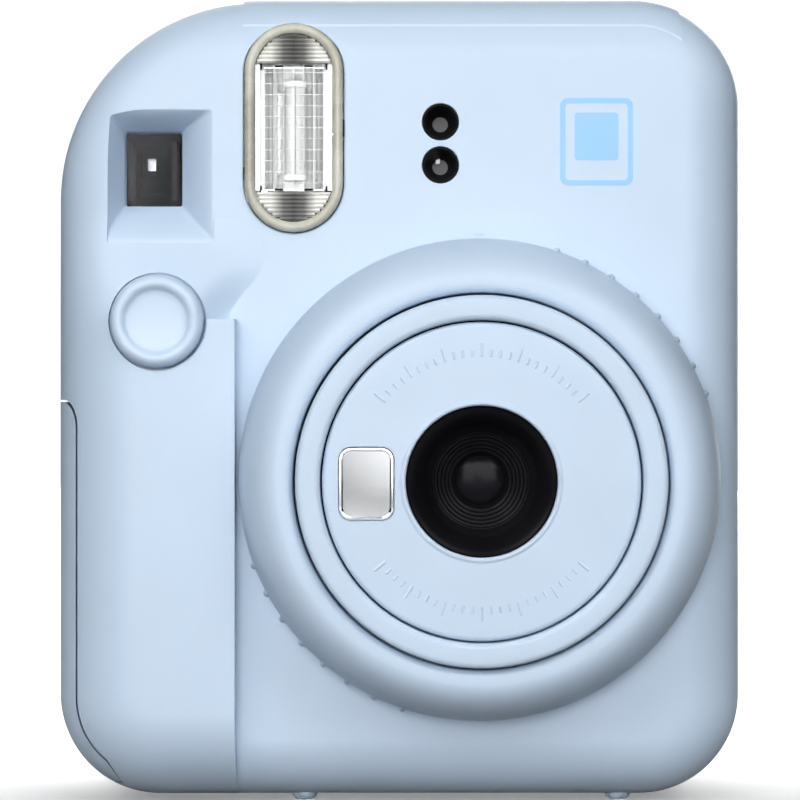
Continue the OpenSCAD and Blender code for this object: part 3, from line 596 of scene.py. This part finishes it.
BLUE = (0.49, 0.602, 0.738)
MATERIALS = {
    "shell": surface("shell", scaled(BLUE, 0.985), scaled(BLUE, 1.01), (0.36, 0.44), 2600, 0.05),
    "shell_light": surface("shell_light", scaled(BLUE, 1.04), scaled(BLUE, 1.07), (0.3, 0.38), 2600, 0.04),
    "dark": surface("dark", (0.004, 0.004, 0.005), (0.008, 0.008, 0.009), (0.38, 0.5), 1500, 0.05, specular=0.04),
    "grey_plastic": surface("grey_plastic", (0.05, 0.05, 0.055), (0.075, 0.075, 0.08), (0.4, 0.55), 1500, 0.06),
    "frosted": surface("frosted", (0.36, 0.35, 0.28), (0.54, 0.54, 0.46), (0.22, 0.32), 1200, 0.03, blotch=110.0),
    "clear": glass("clear", (0.95, 0.97, 0.99), (0.98, 0.99, 1.0)),
    "mirror": surface("mirror", (0.86, 0.88, 0.9), (0.9, 0.92, 0.94), (0.03, 0.07), 500, 0.0, 1.0),
    "steel": surface("steel", (0.48, 0.49, 0.5), (0.6, 0.61, 0.62), (0.25, 0.38), 1800, 0.08, 1.0),
    "brass": surface("brass", (0.7, 0.52, 0.25), (0.8, 0.62, 0.32), (0.25, 0.35), 1500, 0.05, 1.0),
    "board": surface("board", (0.01, 0.09, 0.04), (0.02, 0.14, 0.06), (0.25, 0.4), 700, 0.05),
    "gear": surface("gear", (0.78, 0.77, 0.7), (0.85, 0.84, 0.78), (0.4, 0.5), 1300, 0.05),
    "rubber": surface("rubber", (0.012, 0.012, 0.013), (0.025, 0.025, 0.027), (0.6, 0.75), 2000, 0.15),
    "film": surface("film", (0.82, 0.82, 0.8), (0.88, 0.88, 0.86), (0.3, 0.4), 900, 0.03),
    "copper": surface("copper", (0.55, 0.24, 0.12), (0.7, 0.34, 0.18), (0.3, 0.4), 2500, 0.3, 1.0),
    "cell": surface("cell", (0.42, 0.36, 0.2), (0.5, 0.43, 0.26), (0.25, 0.35), 700, 0.02, 0.6),
}

# ---------- every CAD node gets its finish; pieces below stand in for the ones in view ----------

for node, obj in frame["nodes"].items():
    obj.data.materials.clear()
    obj.data.materials.append(MATERIALS[node_slot[node]])
    obj.data.shade_smooth()
    obj.data.set_sharp_from_angle(angle=math.radians(28))

place(build_front_cover(), "front_cover", angle=28, flats=True)
place(build_rear_cover(), "rear_cover", angle=28, flats=True)
place(build_battery_cover(), "battery_cover", angle=28, flats=True)

# ---------- lens ----------

RING_Y, RING_TOP, RING_R = Y_FRONT - GAP, -31.6, 36.1
BARREL_R, FACE_R, RING_BORE = 27.2, 23.3, 27.6
NECK_R, CREST_R = 29.4, 29.6


def ring_profile():
    """The ring's section: a neck behind the face, a rounded outer slope and a soft inner lip."""
    rise, deep = RING_R - CREST_R, RING_Y - RING_TOP - 1.4
    rows = [(RING_BORE, RING_Y + 4.4), (NECK_R, RING_Y + 4.4), (NECK_R, RING_Y),
            (RING_R - 0.3, RING_Y), (RING_R, RING_Y - 0.3)]
    rows += [(RING_R - rise * (1 - math.cos(a)), RING_Y - 1.4 - deep * math.sin(a))
             for a in np.radians(np.linspace(0, 88, 30))]
    lip = ((1.3, 0), (0.75, 0.08), (0.35, 0.25), (0.1, 0.6), (0, 1.0))
    return rows + [(RING_BORE + out, RING_TOP + sink) for out, sink in lip]


def knurl(angle):
    """One small rib on the ring's outer edge."""
    s, c = math.sin(math.radians(angle)), math.cos(math.radians(angle))
    loops = []
    for rise, r in ((0.1, 0.1), (0.2, 0.5), (3.6, 0.55), (5.2, 0.42), (5.9, 0.1)):
        away = RING_R - 0.12 - 0.35 * max(0.0, rise - 4)
        loops.append(at_depth(circle(LENS_X + away * s, LENS_Z + away * c, r, 16), RING_Y - rise))
    return loft("knurl", loops)


ring = turned("ring", ring_profile(), steps=256)
combine(ring, [knurl(side + 18.7 + 7.2 * i) for side in (0, 180) for i in range(8)], "UNION")
place(ring, "lens_turn_ring", angle=40)

BORE = FACE_R + 0.25
outer = turned("outer", [
    (BORE, -32.4), (BORE + 0.04, -32.8), (BORE + 0.2, -33.08), (BORE + 0.5, -33.24), (BORE + 0.9, LENS_FRONT),
    (BARREL_R - 0.9, LENS_FRONT), (BARREL_R - 0.5, -33.24), (BARREL_R - 0.2, -33.08), (BARREL_R - 0.04, -32.8),
    (BARREL_R, -32.4), (BARREL_R, -8.5), (BARREL_R - 1.6, -8.5), (BARREL_R - 1.6, -29), (BORE, -29)], steps=256)
place(outer, "outer_barrel", angle=40)

FACE_Y = LENS_FRONT + 0.7
face = turned("face", [
    (RIM_R + 0.05, FACE_Y + 0.3), (RIM_R + 0.1, FACE_Y), (RIM_R + 0.22, FACE_Y - 0.14), (RIM_R + 0.4, FACE_Y - 0.2),
    (RIM_R + 0.62, FACE_Y - 0.18), (RIM_R + 0.8, FACE_Y - 0.08), (RIM_R + 1.0, FACE_Y), (FACE_R - 0.8, FACE_Y),
    (FACE_R - 0.35, FACE_Y + 0.08), (FACE_R - 0.08, FACE_Y + 0.35), (FACE_R, FACE_Y + 0.8), (FACE_R, -13),
    (FACE_R - 1.5, -13), (FACE_R - 1.5, FACE_Y + 2), (RIM_R + 0.05, FACE_Y + 2)], steps=256)
pocket = round_rect(*grown(MIRROR_BOX, 0.12), 1.9)
combine(face, prism("pocket", pocket, FACE_Y - 1, FACE_Y + 1))


def scale_tick(angle, r0, r1, width):
    """A small raised bar of the distance scale, pointing at the axis."""
    t = math.radians(angle)
    radial = np.array([math.sin(t), math.cos(t)])
    sideways = np.array([math.cos(t), -math.sin(t)])
    c = np.array([LENS_X, LENS_Z])
    loops = []
    for y, k in ((FACE_Y + 0.3, 1.0), (FACE_Y - 0.04, 1.0), (FACE_Y - 0.1, 0.55)):
        w, near, far = width / 2 * k, r0 + (1 - k) * 0.15, r1 - (1 - k) * 0.15
        corners = ((near, -w), (far, -w), (far, w), (near, w))
        loops.append(at_depth([c + radial * r + sideways * v for r, v in corners], y))
    return loft("tick", loops)


TICK_STEP, TICK_R, TICK_END, LONG_TICK_END, TICK_WIDTH = 4.2, 18.2, 19.3, 20.3, 0.42
ticks = []
for i in range(-12, 13):
    end = LONG_TICK_END if i % 4 == 0 else TICK_END
    ticks += [scale_tick(side + TICK_STEP * i, TICK_R, end, TICK_WIDTH) for side in (0, 180)]
combine(face, ticks, "UNION")
place(face, "face_barrel", angle=40)

mirror_rows = ((0.0, 1), (0.0, 0.05), (-0.12, -0.05), (-0.32, -0.07), (-0.5, -0.02), (-0.6, 0.05))
mirror_loops = []
for g, sink in mirror_rows:
    mirror_loops.append(at_depth(round_rect(*grown(MIRROR_BOX, g), 1.8 + g, 10), FACE_Y + sink))
place(loft("mirror", mirror_loops), "selfie_mirror", angle=12)

well = [(RIM_R + 0.05, FACE_Y + 1.9), (RIM_R + 0.05, FACE_Y + 0.2), (RIM_R - 0.05, FACE_Y + 0.1),
        (RIM_R - 0.25, FACE_Y + 0.35)]
for k in range(1, 9):
    # A smooth funnel that steepens towards its inner lip.
    u = k / 8
    well.append((RIM_R - 0.25 - 2.55 * u, FACE_Y + 0.35 + 2.9 * u ** 1.5))
well += [(8.3, FACE_Y + 3.5), (8.24, FACE_Y + 3.75), (7.2, FACE_Y + 4.75), (7.12, FACE_Y + 5.15),
         (6.98, FACE_Y + 5.2), (6.9, FACE_Y + 5.5)]
for k in range(5):
    r, y = 6.85 - 0.56 * k, FACE_Y + 5.55 + 0.5 * k
    well += [(r, y), (r - 0.08, y + 0.05), (r - 0.3, y + 0.1), (r - 0.38, y + 0.2), (r - 0.46, y + 0.42)]
well += [(3.95, FACE_Y + 8.2), (3.75, FACE_Y + 8.5), (3.75, -23.2), (4.25, -23.2), (4.25, -22), (RIM_R + 0.05, -22)]
hood = surface("hood", (0.004, 0.004, 0.005), (0.007, 0.007, 0.008), (0.3, 0.38), 1500, 0.05, specular=0.08)
place(turned("well", well, steps=192), "lens_hood", hood, angle=24)

coated = surface("coated", (0.003, 0.003, 0.005), (0.006, 0.006, 0.009), (0.16, 0.22), 300, 0.0, specular=0.1)
DOME_R, DOME_Y, DOME_RISE = 4.2, -23.3, 1.3
dome = [(0, -22.4), (DOME_R, -22.4), (DOME_R, DOME_Y)]
dome += [(DOME_R * math.cos(a), DOME_Y - DOME_RISE * math.sin(a)) for a in np.radians(np.linspace(6, 90, 16))]
dome[-1] = (0, DOME_Y - DOME_RISE)
place(turned("dome", dome, steps=96), "front_lens", coated, angle=60)

# ---------- shutter button ----------

BUTTON_TOP = Y_FRONT - GRIP_RISE - 1.7
# The top is dished inside a rounded rim; below it come the flange and the stem.
dish = ((0, 0.95), (2.0, 0.92), (3.6, 0.84), (4.35, 0.76), (4.6, 0.66), (4.8, 0.45), (5.05, 0.2), (5.35, 0.05),
        (5.7, 0), (6.05, 0.06), (6.4, 0.26), (6.7, 0.62), (6.9, 1.1), (7.0, 1.8))
cap = [(r, BUTTON_TOP + sink) for r, sink in dish]
cap += [(7.0, -19.5), (7.7, -19.5), (7.7, -18.8), (2, -18.8), (2, -13.4), (0, -13.4)]
place(turned("button", cap, *BUTTON, 128), "shutter_button", angle=40)

# ---------- flash ----------

bezel_rows = ((0.0, -16.0), (0.0, -18.35), (-0.12, -18.7), (-0.4, -18.93), (-0.85, -19.0), (-1.25, -18.9),
              (-1.52, -18.6), (-1.52, -16.0))
bezel_loops = [at_depth(pill(*FLASH, FLASH_HALF[0] + g, FLASH_HALF[1] + g), y) for g, y in bezel_rows]
bezel = loft("bezel", bezel_loops, closed=True)
place(bezel, "flash_bezel", angle=40)

pane_glass = glass("pane_glass", (0.97, 0.98, 0.98), (0.99, 0.99, 0.99), (0.0, 0.02), 1.25)
PANE_Y = -17.7
pane = prism("pane", pill(*FLASH, *PANE_HALF), PANE_Y, PANE_Y + 0.3)
place(pane, "flash_window", pane_glass, angle=30).visible_shadow = False

FX, FZ = FLASH
HOLE_W, HOLE_H = 5.15, 9.6


def half_width(z):
    """Half the width of the window's pill at a height."""
    over = max(0.0, abs(z - FZ) - (PANE_HALF[1] - 5.9))
    return math.sqrt(max(0.04, 5.86 ** 2 - over ** 2))


ribs = []
for s in (-1, 1):
    for k in range(7):
        z = FZ + s * (HOLE_H + 0.42 + 0.62 * k)
        half = half_width(z) - 0.15
        rib = [(0, z - 0.3), (0.42, z), (0, z + 0.3)]
        ribs.append(loft("rib", [[(x, -18.05 - a, b) for a, b in rib] for x in (FX - half, FX + half)]))
        low, high = sorted((z - s * 0.31, z + s * 0.31))
        base = min(half_width(low), half_width(high))
        ribs.append(block_box("base", (FX - base, -18.04, low), (FX + base, -17.75, high)))
sides = [block_box("side", (x - 0.36, -18.2, FZ - HOLE_H + 0.1), (x + 0.36, -17.75, FZ + HOLE_H - 0.1))
         for x in (FX - 5.45, FX + 5.45)]


def across(mat, bands):
    """Paints light and shade into the base colour by the distance from the lamp's centre line, in millimetres."""
    nodes, links = mat.node_tree.nodes, mat.node_tree.links
    coord = nodes.new("ShaderNodeTexCoord")
    split = nodes.new("ShaderNodeSeparateXYZ")
    links.new(coord.outputs["Object"], split.inputs["Vector"])
    shift = nodes.new("ShaderNodeMath")
    shift.operation = "SUBTRACT"
    shift.inputs[1].default_value = FX * MM
    links.new(split.outputs["X"], shift.inputs[0])
    size = nodes.new("ShaderNodeMath")
    size.operation = "ABSOLUTE"
    links.new(shift.outputs["Value"], size.inputs[0])
    scale = nodes.new("ShaderNodeMath")
    scale.operation = "DIVIDE"
    scale.inputs[1].default_value = HOLE_W * MM
    links.new(size.outputs["Value"], scale.inputs[0])
    tone = nodes.new("ShaderNodeValToRGB")
    stops = tone.color_ramp.elements
    while len(stops) < len(bands):
        stops.new(0.5)
    for stop, (place_mm, grey) in zip(stops, bands):
        stop.position = place_mm / HOLE_W
        stop.color = (grey, grey, grey * 0.99, 1)
    links.new(scale.outputs["Value"], tone.inputs["Fac"])
    mix = nodes.new("ShaderNodeMix")
    mix.data_type = "RGBA"
    mix.blend_type = "MULTIPLY"
    mix.inputs["Factor"].default_value = 1.0
    bsdf = nodes["Principled BSDF"]
    links.new(bsdf.inputs["Base Color"].links[0].from_socket, mix.inputs["A"])
    links.new(tone.outputs["Color"], mix.inputs["B"])
    links.new(mix.outputs["Result"], bsdf.inputs["Base Color"])
    return mat


# Painted shade: the flash window's ribs are darkened towards the lamp's centre line.
RIB_PAINTED_SHADE = ((0.0, 0.16), (1.6, 0.28), (3.4, 0.95), (5.0, 1.0))
ribbed_painted_shade = across(surface("ribbed_painted_shade", (0.8, 0.8, 0.77), (0.92, 0.92, 0.9), (0.12, 0.22), 900, 0.03), RIB_PAINTED_SHADE)
milky = surface("milky", (0.8, 0.8, 0.77), (0.9, 0.9, 0.88), (0.12, 0.22), 900, 0.03, 0.0, 0.3)
extra(join("flash_sides", sides), "flash_window", milky, weighted=False)
extra(join("flash_ribs", ribs), "flash_window", ribbed_painted_shade, weighted=False)
clips = [block_box("clip", (FX + x - 0.1, -18.3, z - h), (FX + x + 0.1, -17.6, z + h))
         for x, z, h in ((-7.5, 95.4, 0.95), (7.5, 102.2, 1.3))]
extra(join("flash_clips", clips), "flash_bezel", MATERIALS["dark"], weighted=False)

# Fine raised lines of the window's lens pattern.
LINE_HALF = 0.045
grid = [block_box("bar", (x - LINE_HALF, -17.82, FZ - HOLE_H), (x + LINE_HALF, -17.74, FZ + HOLE_H))
        for x in (FX + 1.5 * k for k in range(-3, 4))]
grid += [block_box("bar", (FX - HOLE_W, -17.92, z - LINE_HALF), (FX + HOLE_W, -17.84, z + LINE_HALF))
         for z in (FZ + 1.66 * k for k in range(-5, 6))]
extra(join("flash_lines", grid), "flash_window", milky, weighted=False)
NOTCHES = ((-5.0, 0.2, 0.55), (5.0, 0.2, 0.55), (-2.2, 0.7, 0.14), (2.2, 0.75, 0.14))
notches = [block_box("notch", (FX + x - w, -17.74, z - h), (FX + x + w, -17.6, z + h))
           for z in (FZ - (HOLE_H - 0.3), FZ + (HOLE_H - 0.3)) for x, w, h in NOTCHES]
extra(join("flash_notches", notches), "flash_window", MATERIALS["dark"], weighted=False)


def reflector():
    """A pressed trough: bright side wings, a curved back in facets and folded ends."""
    half = [(0.55, -9.3), (1.2, -9.0), (1.9, -9.4), (2.4, -10.4), (2.7, -11.6), (3.3, -12.2), (3.5, -13.6),
            (4.2, -14.4), (4.5, -15.6), (5.3, -16.0)]
    run = [(FX - a, b) for a, b in half[::-1]] + [(FX + a, b) for a, b in half]
    back = [(x, y + 0.35) for x, y in run[::-1]]
    trough = loft("trough", [[(x, y, z) for x, y in run + back] for z in (FZ - HOLE_H + 0.4, FZ + HOLE_H - 0.4)])
    ends = []
    sheet = ((-4.5, -0.1), (4.5, -0.1), (4.5, 0.1), (-4.5, 0.1))
    for s in (-1, 1):
        z = FZ + s * (HOLE_H - 0.35)
        ends.append(loft("end", [[(FX + a, y, z - s * dz + b) for a, b in sheet]
                                 for y, dz in ((-16.0, 0.0), (-13.2, 1.4), (-9.6, 2.9))]))
    return join("reflector", [trough] + ends)


# Painted reflections: light and dark streaks across the reflector's base colour stand in for what its facets reflect.
PAINTED_REFLECTION_STREAKS = ((0.0, 0.6), (1.3, 1.0), (1.75, 0.35), (2.1, 0.9), (2.6, 0.45), (3.0, 1.0), (3.35, 0.12), (3.7, 0.6),
           (3.9, 0.1), (4.3, 0.5), (4.5, 1.0))
bright = across(surface("bright", (0.9, 0.91, 0.92), (0.96, 0.97, 0.98), (0.1, 0.2), 240, 0.25, 0.45), PAINTED_REFLECTION_STREAKS)
place(reflector(), "flash_reflector", bright, angle=15)

lamp_glass = glass("lamp_glass", (0.97, 0.98, 0.98), (0.99, 1.0, 1.0), (0.0, 0.03), 1.3)
lamp = surface("lamp", (0.85, 0.86, 0.86), (0.97, 0.97, 0.97), (0.1, 0.25), 600, 0.05)
TUBE_Y, CAP_AWAY = -12.2, 7.1
tube_rows = [(0.5, FZ - 12.4), (1.1, FZ - 12.1), (1.5, FZ - 11.4), (1.5, FZ + 11.4), (1.1, FZ + 12.1),
             (0.5, FZ + 12.4)]
place(upright("tube", FX, TUBE_Y, tube_rows), "flash_tube", lamp_glass, angle=50).visible_shadow = False
wires = [upright("wire", FX + 0.05, -13.85, [(0.08, FZ - HOLE_H + 0.2), (0.08, FZ + HOLE_H - 0.2)], 10)]
cores = [upright("core", FX, TUBE_Y, [(0.9, FZ - 7.6), (1.15, FZ - 7.2), (1.15, FZ + 7.2), (0.9, FZ + 7.6)], 24)]
for z in (FZ - CAP_AWAY, FZ + CAP_AWAY):
    cores.append(upright("cap", FX, TUBE_Y, [(1.56, z - 0.5), (1.75, z - 0.3), (1.75, z + 0.3), (1.56, z + 0.5)], 32))
extra(join("flash_wire", wires), "flash_tube", MATERIALS["grey_plastic"])
extra(join("flash_core", cores), "flash_tube", lamp)

# ---------- light sensors ----------

sleeve = [(2.45, -17.95), (2.68, -17.95), (2.68, -14.4), (3.1, -14.4), (3.1, -13), (1.2, -13), (1.2, -13.8),
          (2.0, -15.6)]
place(join("sleeves", [turned("sleeve", sleeve, SENSOR_X, z, 64) for z in SENSOR_Z]), "sensor_sleeves", angle=30)
low_sensor = SENSOR_Z[1]
die = soft_box("sensor_die", (SENSOR_X - 0.68, -13.9, low_sensor + 0.45),
               (SENSOR_X - 0.02, -13.3, low_sensor + 1.3), 0.08, 2)
extra(die, "light_sensors", milky)

# ---------- viewfinder ----------

finder_glass = glass("finder_glass", (0.93, 0.94, 0.96), (0.95, 0.96, 0.98), (0.0, 0.01), 1.12)
VX, VZ = FINDER
window = block_box("window", (VX - 5.2, -11.9, VZ - 6.6), (VX + 5.2, -11.4, VZ + 6.6))
place(window, "viewfinder_window", finder_glass, weighted=False).visible_shadow = False
tunnel = block_box("tunnel", (VX - 6.2, -11.2, VZ - 7.6), (VX + 6.2, 22, VZ + 7.6))
combine(tunnel, block_box("in", (VX - 5, -12, VZ - 6.4), (VX + 5, -6.0, VZ + 6.4)))
# The sight, seen from in front through the mouth of a stepped mask.
SX, SZ = VX - 0.95, VZ + 1.42
combine(tunnel, prism("mouth", round_rect(SX - 1.6, SX + 1.7, SZ - 2.5, SZ + 2.5, 0.8), -7, -4.6))
combine(tunnel, prism("sight", round_rect(SX - 0.8, SX + 0.6, SZ - 0.98, SZ + 0.98, 0.25), -5, -2.0))
combine(tunnel, block_box("rest", (VX - 4.4, -2.4, VZ - 5.4), (VX + 4.4, 20.8, VZ + 5.4)))
combine(tunnel, prism("out", round_rect(VX - 3, VX + 3, VZ - 4, VZ + 4, 1.0), 20, 23))
rails = [soft_box("rail", (VX + x - 0.4, -10.6, VZ - 4.6), (VX + x + 0.4, -5.9, VZ + 4.6), 0.15, 2)
         for x in (-3.75, 2.95)]
rails.append(soft_box("rail", (VX - 2.6, -7.4, VZ - 3.6), (VX + 1.3, -5.9, VZ - 3.2), 0.15, 2))
satin = surface("satin_dark", (0.002, 0.002, 0.0025), (0.003, 0.003, 0.004), (0.5, 0.6), 1500, 0.05, specular=0.01)
place(tunnel, "viewfinder_tube", satin, angle=30)
# Painted highlight: the rails are a lighter grey than the tunnel's black, standing in for the light they catch.
rail_painted_highlight = surface("rail_painted_highlight", (0.02, 0.02, 0.023), (0.026, 0.026, 0.03), (0.5, 0.6), 1500, 0.05, specular=0.05)
extra(join("finder_rails", rails), "viewfinder_tube", rail_painted_highlight)

eye_loops = []
for g, y in ((0, 22), (0, 32.2), (-0.15, 32.8), (-0.5, 33.15), (-1.1, 33.3)):
    eye_loops.append(at_depth(round_rect(*grown(EYECUP, g), 3 + g, 12), y))
eye = loft("eye", eye_loops)
combine(eye, prism("hole", round_rect(VX - 3, VX + 3, VZ - 4, VZ + 4, 1.0), 20, 40))
combine(eye, prism("cup", round_rect(VX - 4.5, VX + 4.5, VZ - 5.5, VZ + 5.5, 1.5), 28, 40))
place(eye, "viewfinder_eyepiece", angle=35)

# ---------- generic picture mark in place of lettering ----------

mark = surface("mark", (0.27, 0.52, 0.83), (0.29, 0.54, 0.86), (0.4, 0.5), 2600, 0.03)


def frame_bars(box, width, y0, y1):
    """A flat frame with rounded corners."""
    outer_loop, inner_loop = round_rect(*box, 1.2), round_rect(*grown(box, -width), 0.6)
    loops = [at_depth(outer_loop, y1), at_depth(outer_loop, y0), at_depth(inner_loop, y0), at_depth(inner_loop, y1)]
    return loft("bars", loops, closed=True)


MARK_Y = (Y_FRONT - 0.05, Y_FRONT + 0.3)
card = [frame_bars(CARD_BOX, 0.8, *MARK_Y), prism("picture", round_rect(*PICTURE_BOX, 0.5), *MARK_Y)]
extra(join("picture_mark", card), "front_cover", mark, weighted=False)

# ---------- stage, light and camera ----------


def plane(name, size, location, rotation, material):
    mesh = bpy.data.meshes.new(name)
    s = size / 2
    mesh.from_pydata([(-s, -s, 0), (s, -s, 0), (s, s, 0), (-s, s, 0)], [], [(0, 1, 2, 3)])
    obj = bpy.data.objects.new(name, mesh)
    bpy.context.scene.collection.objects.link(obj)
    obj.location = location
    obj.rotation_euler = rotation
    mesh.materials.append(material)
    return obj


def paper_copy(name):
    """A copy of the paper that can be given a white glow."""
    mat = paper.copy()
    mat.name = name
    mat.node_tree.nodes["Principled BSDF"].inputs["Emission Color"].default_value = (1, 1, 1, 1)
    return mat


def glow_along(mat, slope, start, end, low, high, interpolation="LINEAR"):
    """Makes a material glow with a strength that rises along a slope across its piece."""
    nodes, links = mat.node_tree.nodes, mat.node_tree.links
    coord = nodes.new("ShaderNodeTexCoord")
    along = nodes.new("ShaderNodeVectorMath")
    along.operation = "DOT_PRODUCT"
    along.inputs[1].default_value = (*slope, 0)
    links.new(coord.outputs["Object"], along.inputs[0])
    rise = nodes.new("ShaderNodeMapRange")
    rise.interpolation_type = interpolation
    for socket, value in (("From Min", start), ("From Max", end), ("To Min", low), ("To Max", high)):
        rise.inputs[socket].default_value = value
    links.new(along.outputs["Value"], rise.inputs["Value"])
    bsdf = nodes["Principled BSDF"]
    bsdf.inputs["Emission Color"].default_value = (1, 1, 1, 1)
    links.new(rise.outputs["Result"], bsdf.inputs["Emission Strength"])
    return mat


STAGE_SIZE, BACKDROP_AWAY = 6.0, 2.4
LIT_FROM, LIT_FULL = -0.03, 0.05
UPRIGHT = math.radians(90)
paper = surface("paper", (0.93, 0.93, 0.93), (0.95, 0.95, 0.95), (0.85, 0.95), 200, 0.0)
glow = paper_copy("glow")
glow.node_tree.nodes["Principled BSDF"].inputs["Emission Strength"].default_value = 1.0
plane("floor", STAGE_SIZE, (0, 0, 0), (0, 0, 0), paper).visible_diffuse = False
# Behind the object the floor glows as the backdrops do; around its foot it stays plain paper.
lit_paper = glow_along(paper_copy("lit_paper"), (0, 1), LIT_FROM, LIT_FULL, 0.0, 1.0, "SMOOTHSTEP")
sheets = [plane("lit_floor", STAGE_SIZE, (0, 0, 0.0001), (0, 0, 0), lit_paper)]
for turn in np.radians((0, 90, 180, 270)):
    where = (BACKDROP_AWAY * math.sin(turn), BACKDROP_AWAY * math.cos(turn), 0)
    sheets.append(plane("backdrop", STAGE_SIZE, where, (UPRIGHT, 0, -turn), glow))
for sheet in sheets:
    sheet.visible_diffuse = False
    sheet.visible_glossy = False


MIDDLE = (0, 0, 0.06)


def softbox(name, location, size, power):
    """An area light that faces the middle of the object."""
    data = bpy.data.lights.new(name, "AREA")
    data.shape = "RECTANGLE"
    data.size, data.size_y = size
    data.energy = power
    obj = bpy.data.objects.new(name, data)
    bpy.context.scene.collection.objects.link(obj)
    obj.location = location
    direction = Vector(MIDDLE) - Vector(location)
    obj.rotation_euler = direction.to_track_quat("-Z", "Y").to_euler()
    obj.visible_camera = False
    return obj


# The near light would show in the viewfinder window and the mirror, so nothing glossy reflects it.
softbox("near", (-0.1, -0.9, 0.16), (0.35, 0.35), 4.2).visible_glossy = False
softbox("upper_left", (-0.6, -0.8, 0.7), (0.6, 0.6), 4.8)
softbox("upper_right", (0.6, -0.8, 0.7), (0.6, 0.6), 4.4)
softbox("top", (0, -0.6, 0.9), (0.9, 0.5), 1.2)
softbox("rear", (0.25, 1.4, 0.35), (0.9, 0.9), 11.0)
softbox("rear_top", (-0.3, 1.2, 0.9), (0.9, 0.9), 3.0)


def lit_card(name, size, location, slope, start, end, low, high):
    """A card facing the object, hidden from the camera; its glow rises along a slope across it."""
    mat = surface(name, (0.01, 0.01, 0.01), (0.02, 0.02, 0.02), (0.8, 0.9), 200, 0.0)
    glow_along(mat, slope, start, end, low, high)
    card_plane = plane(name, size, location, (UPRIGHT, 0, 0), mat)
    card_plane.visible_camera = False
    return card_plane


CARD = 1.6
# One card fills from the front, and a brighter one behind it is only for reflections.
lit_card("card", CARD, (0, -1.6, 0.1), (0, 1), -CARD / 2, CARD / 2, 0.15, 0.66).visible_glossy = False
lit_card("sheen_card", CARD, (0, -1.62, 0.1), (0, 1), -CARD / 2, CARD / 2, 2.4, 5.6).visible_diffuse = False
# The small card is what the self-portrait mirror shows.
lit_card("mirror_card", 0.3, (-0.023, -1.55, 0.003), (0.75, 0.66), -0.026, 0.026, 0.26, 1.1)
# The viewfinder window shows the edge of this one, aslant.
lit_card("finder_card", 0.09, (-0.165, -1.55, 0.22), (-0.936, 0.351), -0.002, 0.002, 0.0, 4.2)

world = bpy.data.worlds.new("studio")
world.use_nodes = True
world.node_tree.nodes["Background"].inputs["Color"].default_value = (0.9, 0.95, 1.0, 1)
world.node_tree.nodes["Background"].inputs["Strength"].default_value = 0.02
bpy.context.scene.world = world
bpy.context.scene.view_settings.view_transform = "Standard"

CAMERA_AWAY, CAMERA_HEIGHT, FRAME_MM = 0.450, 0.0613, 125.5
SENSOR_MM = 36.0
data = bpy.data.cameras.new("camera")
data.sensor_width = SENSOR_MM
data.lens = SENSOR_MM * CAMERA_AWAY / (FRAME_MM * MM)
data.clip_start = 0.01
camera = bpy.data.objects.new("camera", data)
bpy.context.scene.collection.objects.link(camera)
camera.location = (0.0001, -CAMERA_AWAY, CAMERA_HEIGHT)
camera.rotation_euler = (UPRIGHT, 0, 0)
bpy.context.scene.camera = camera
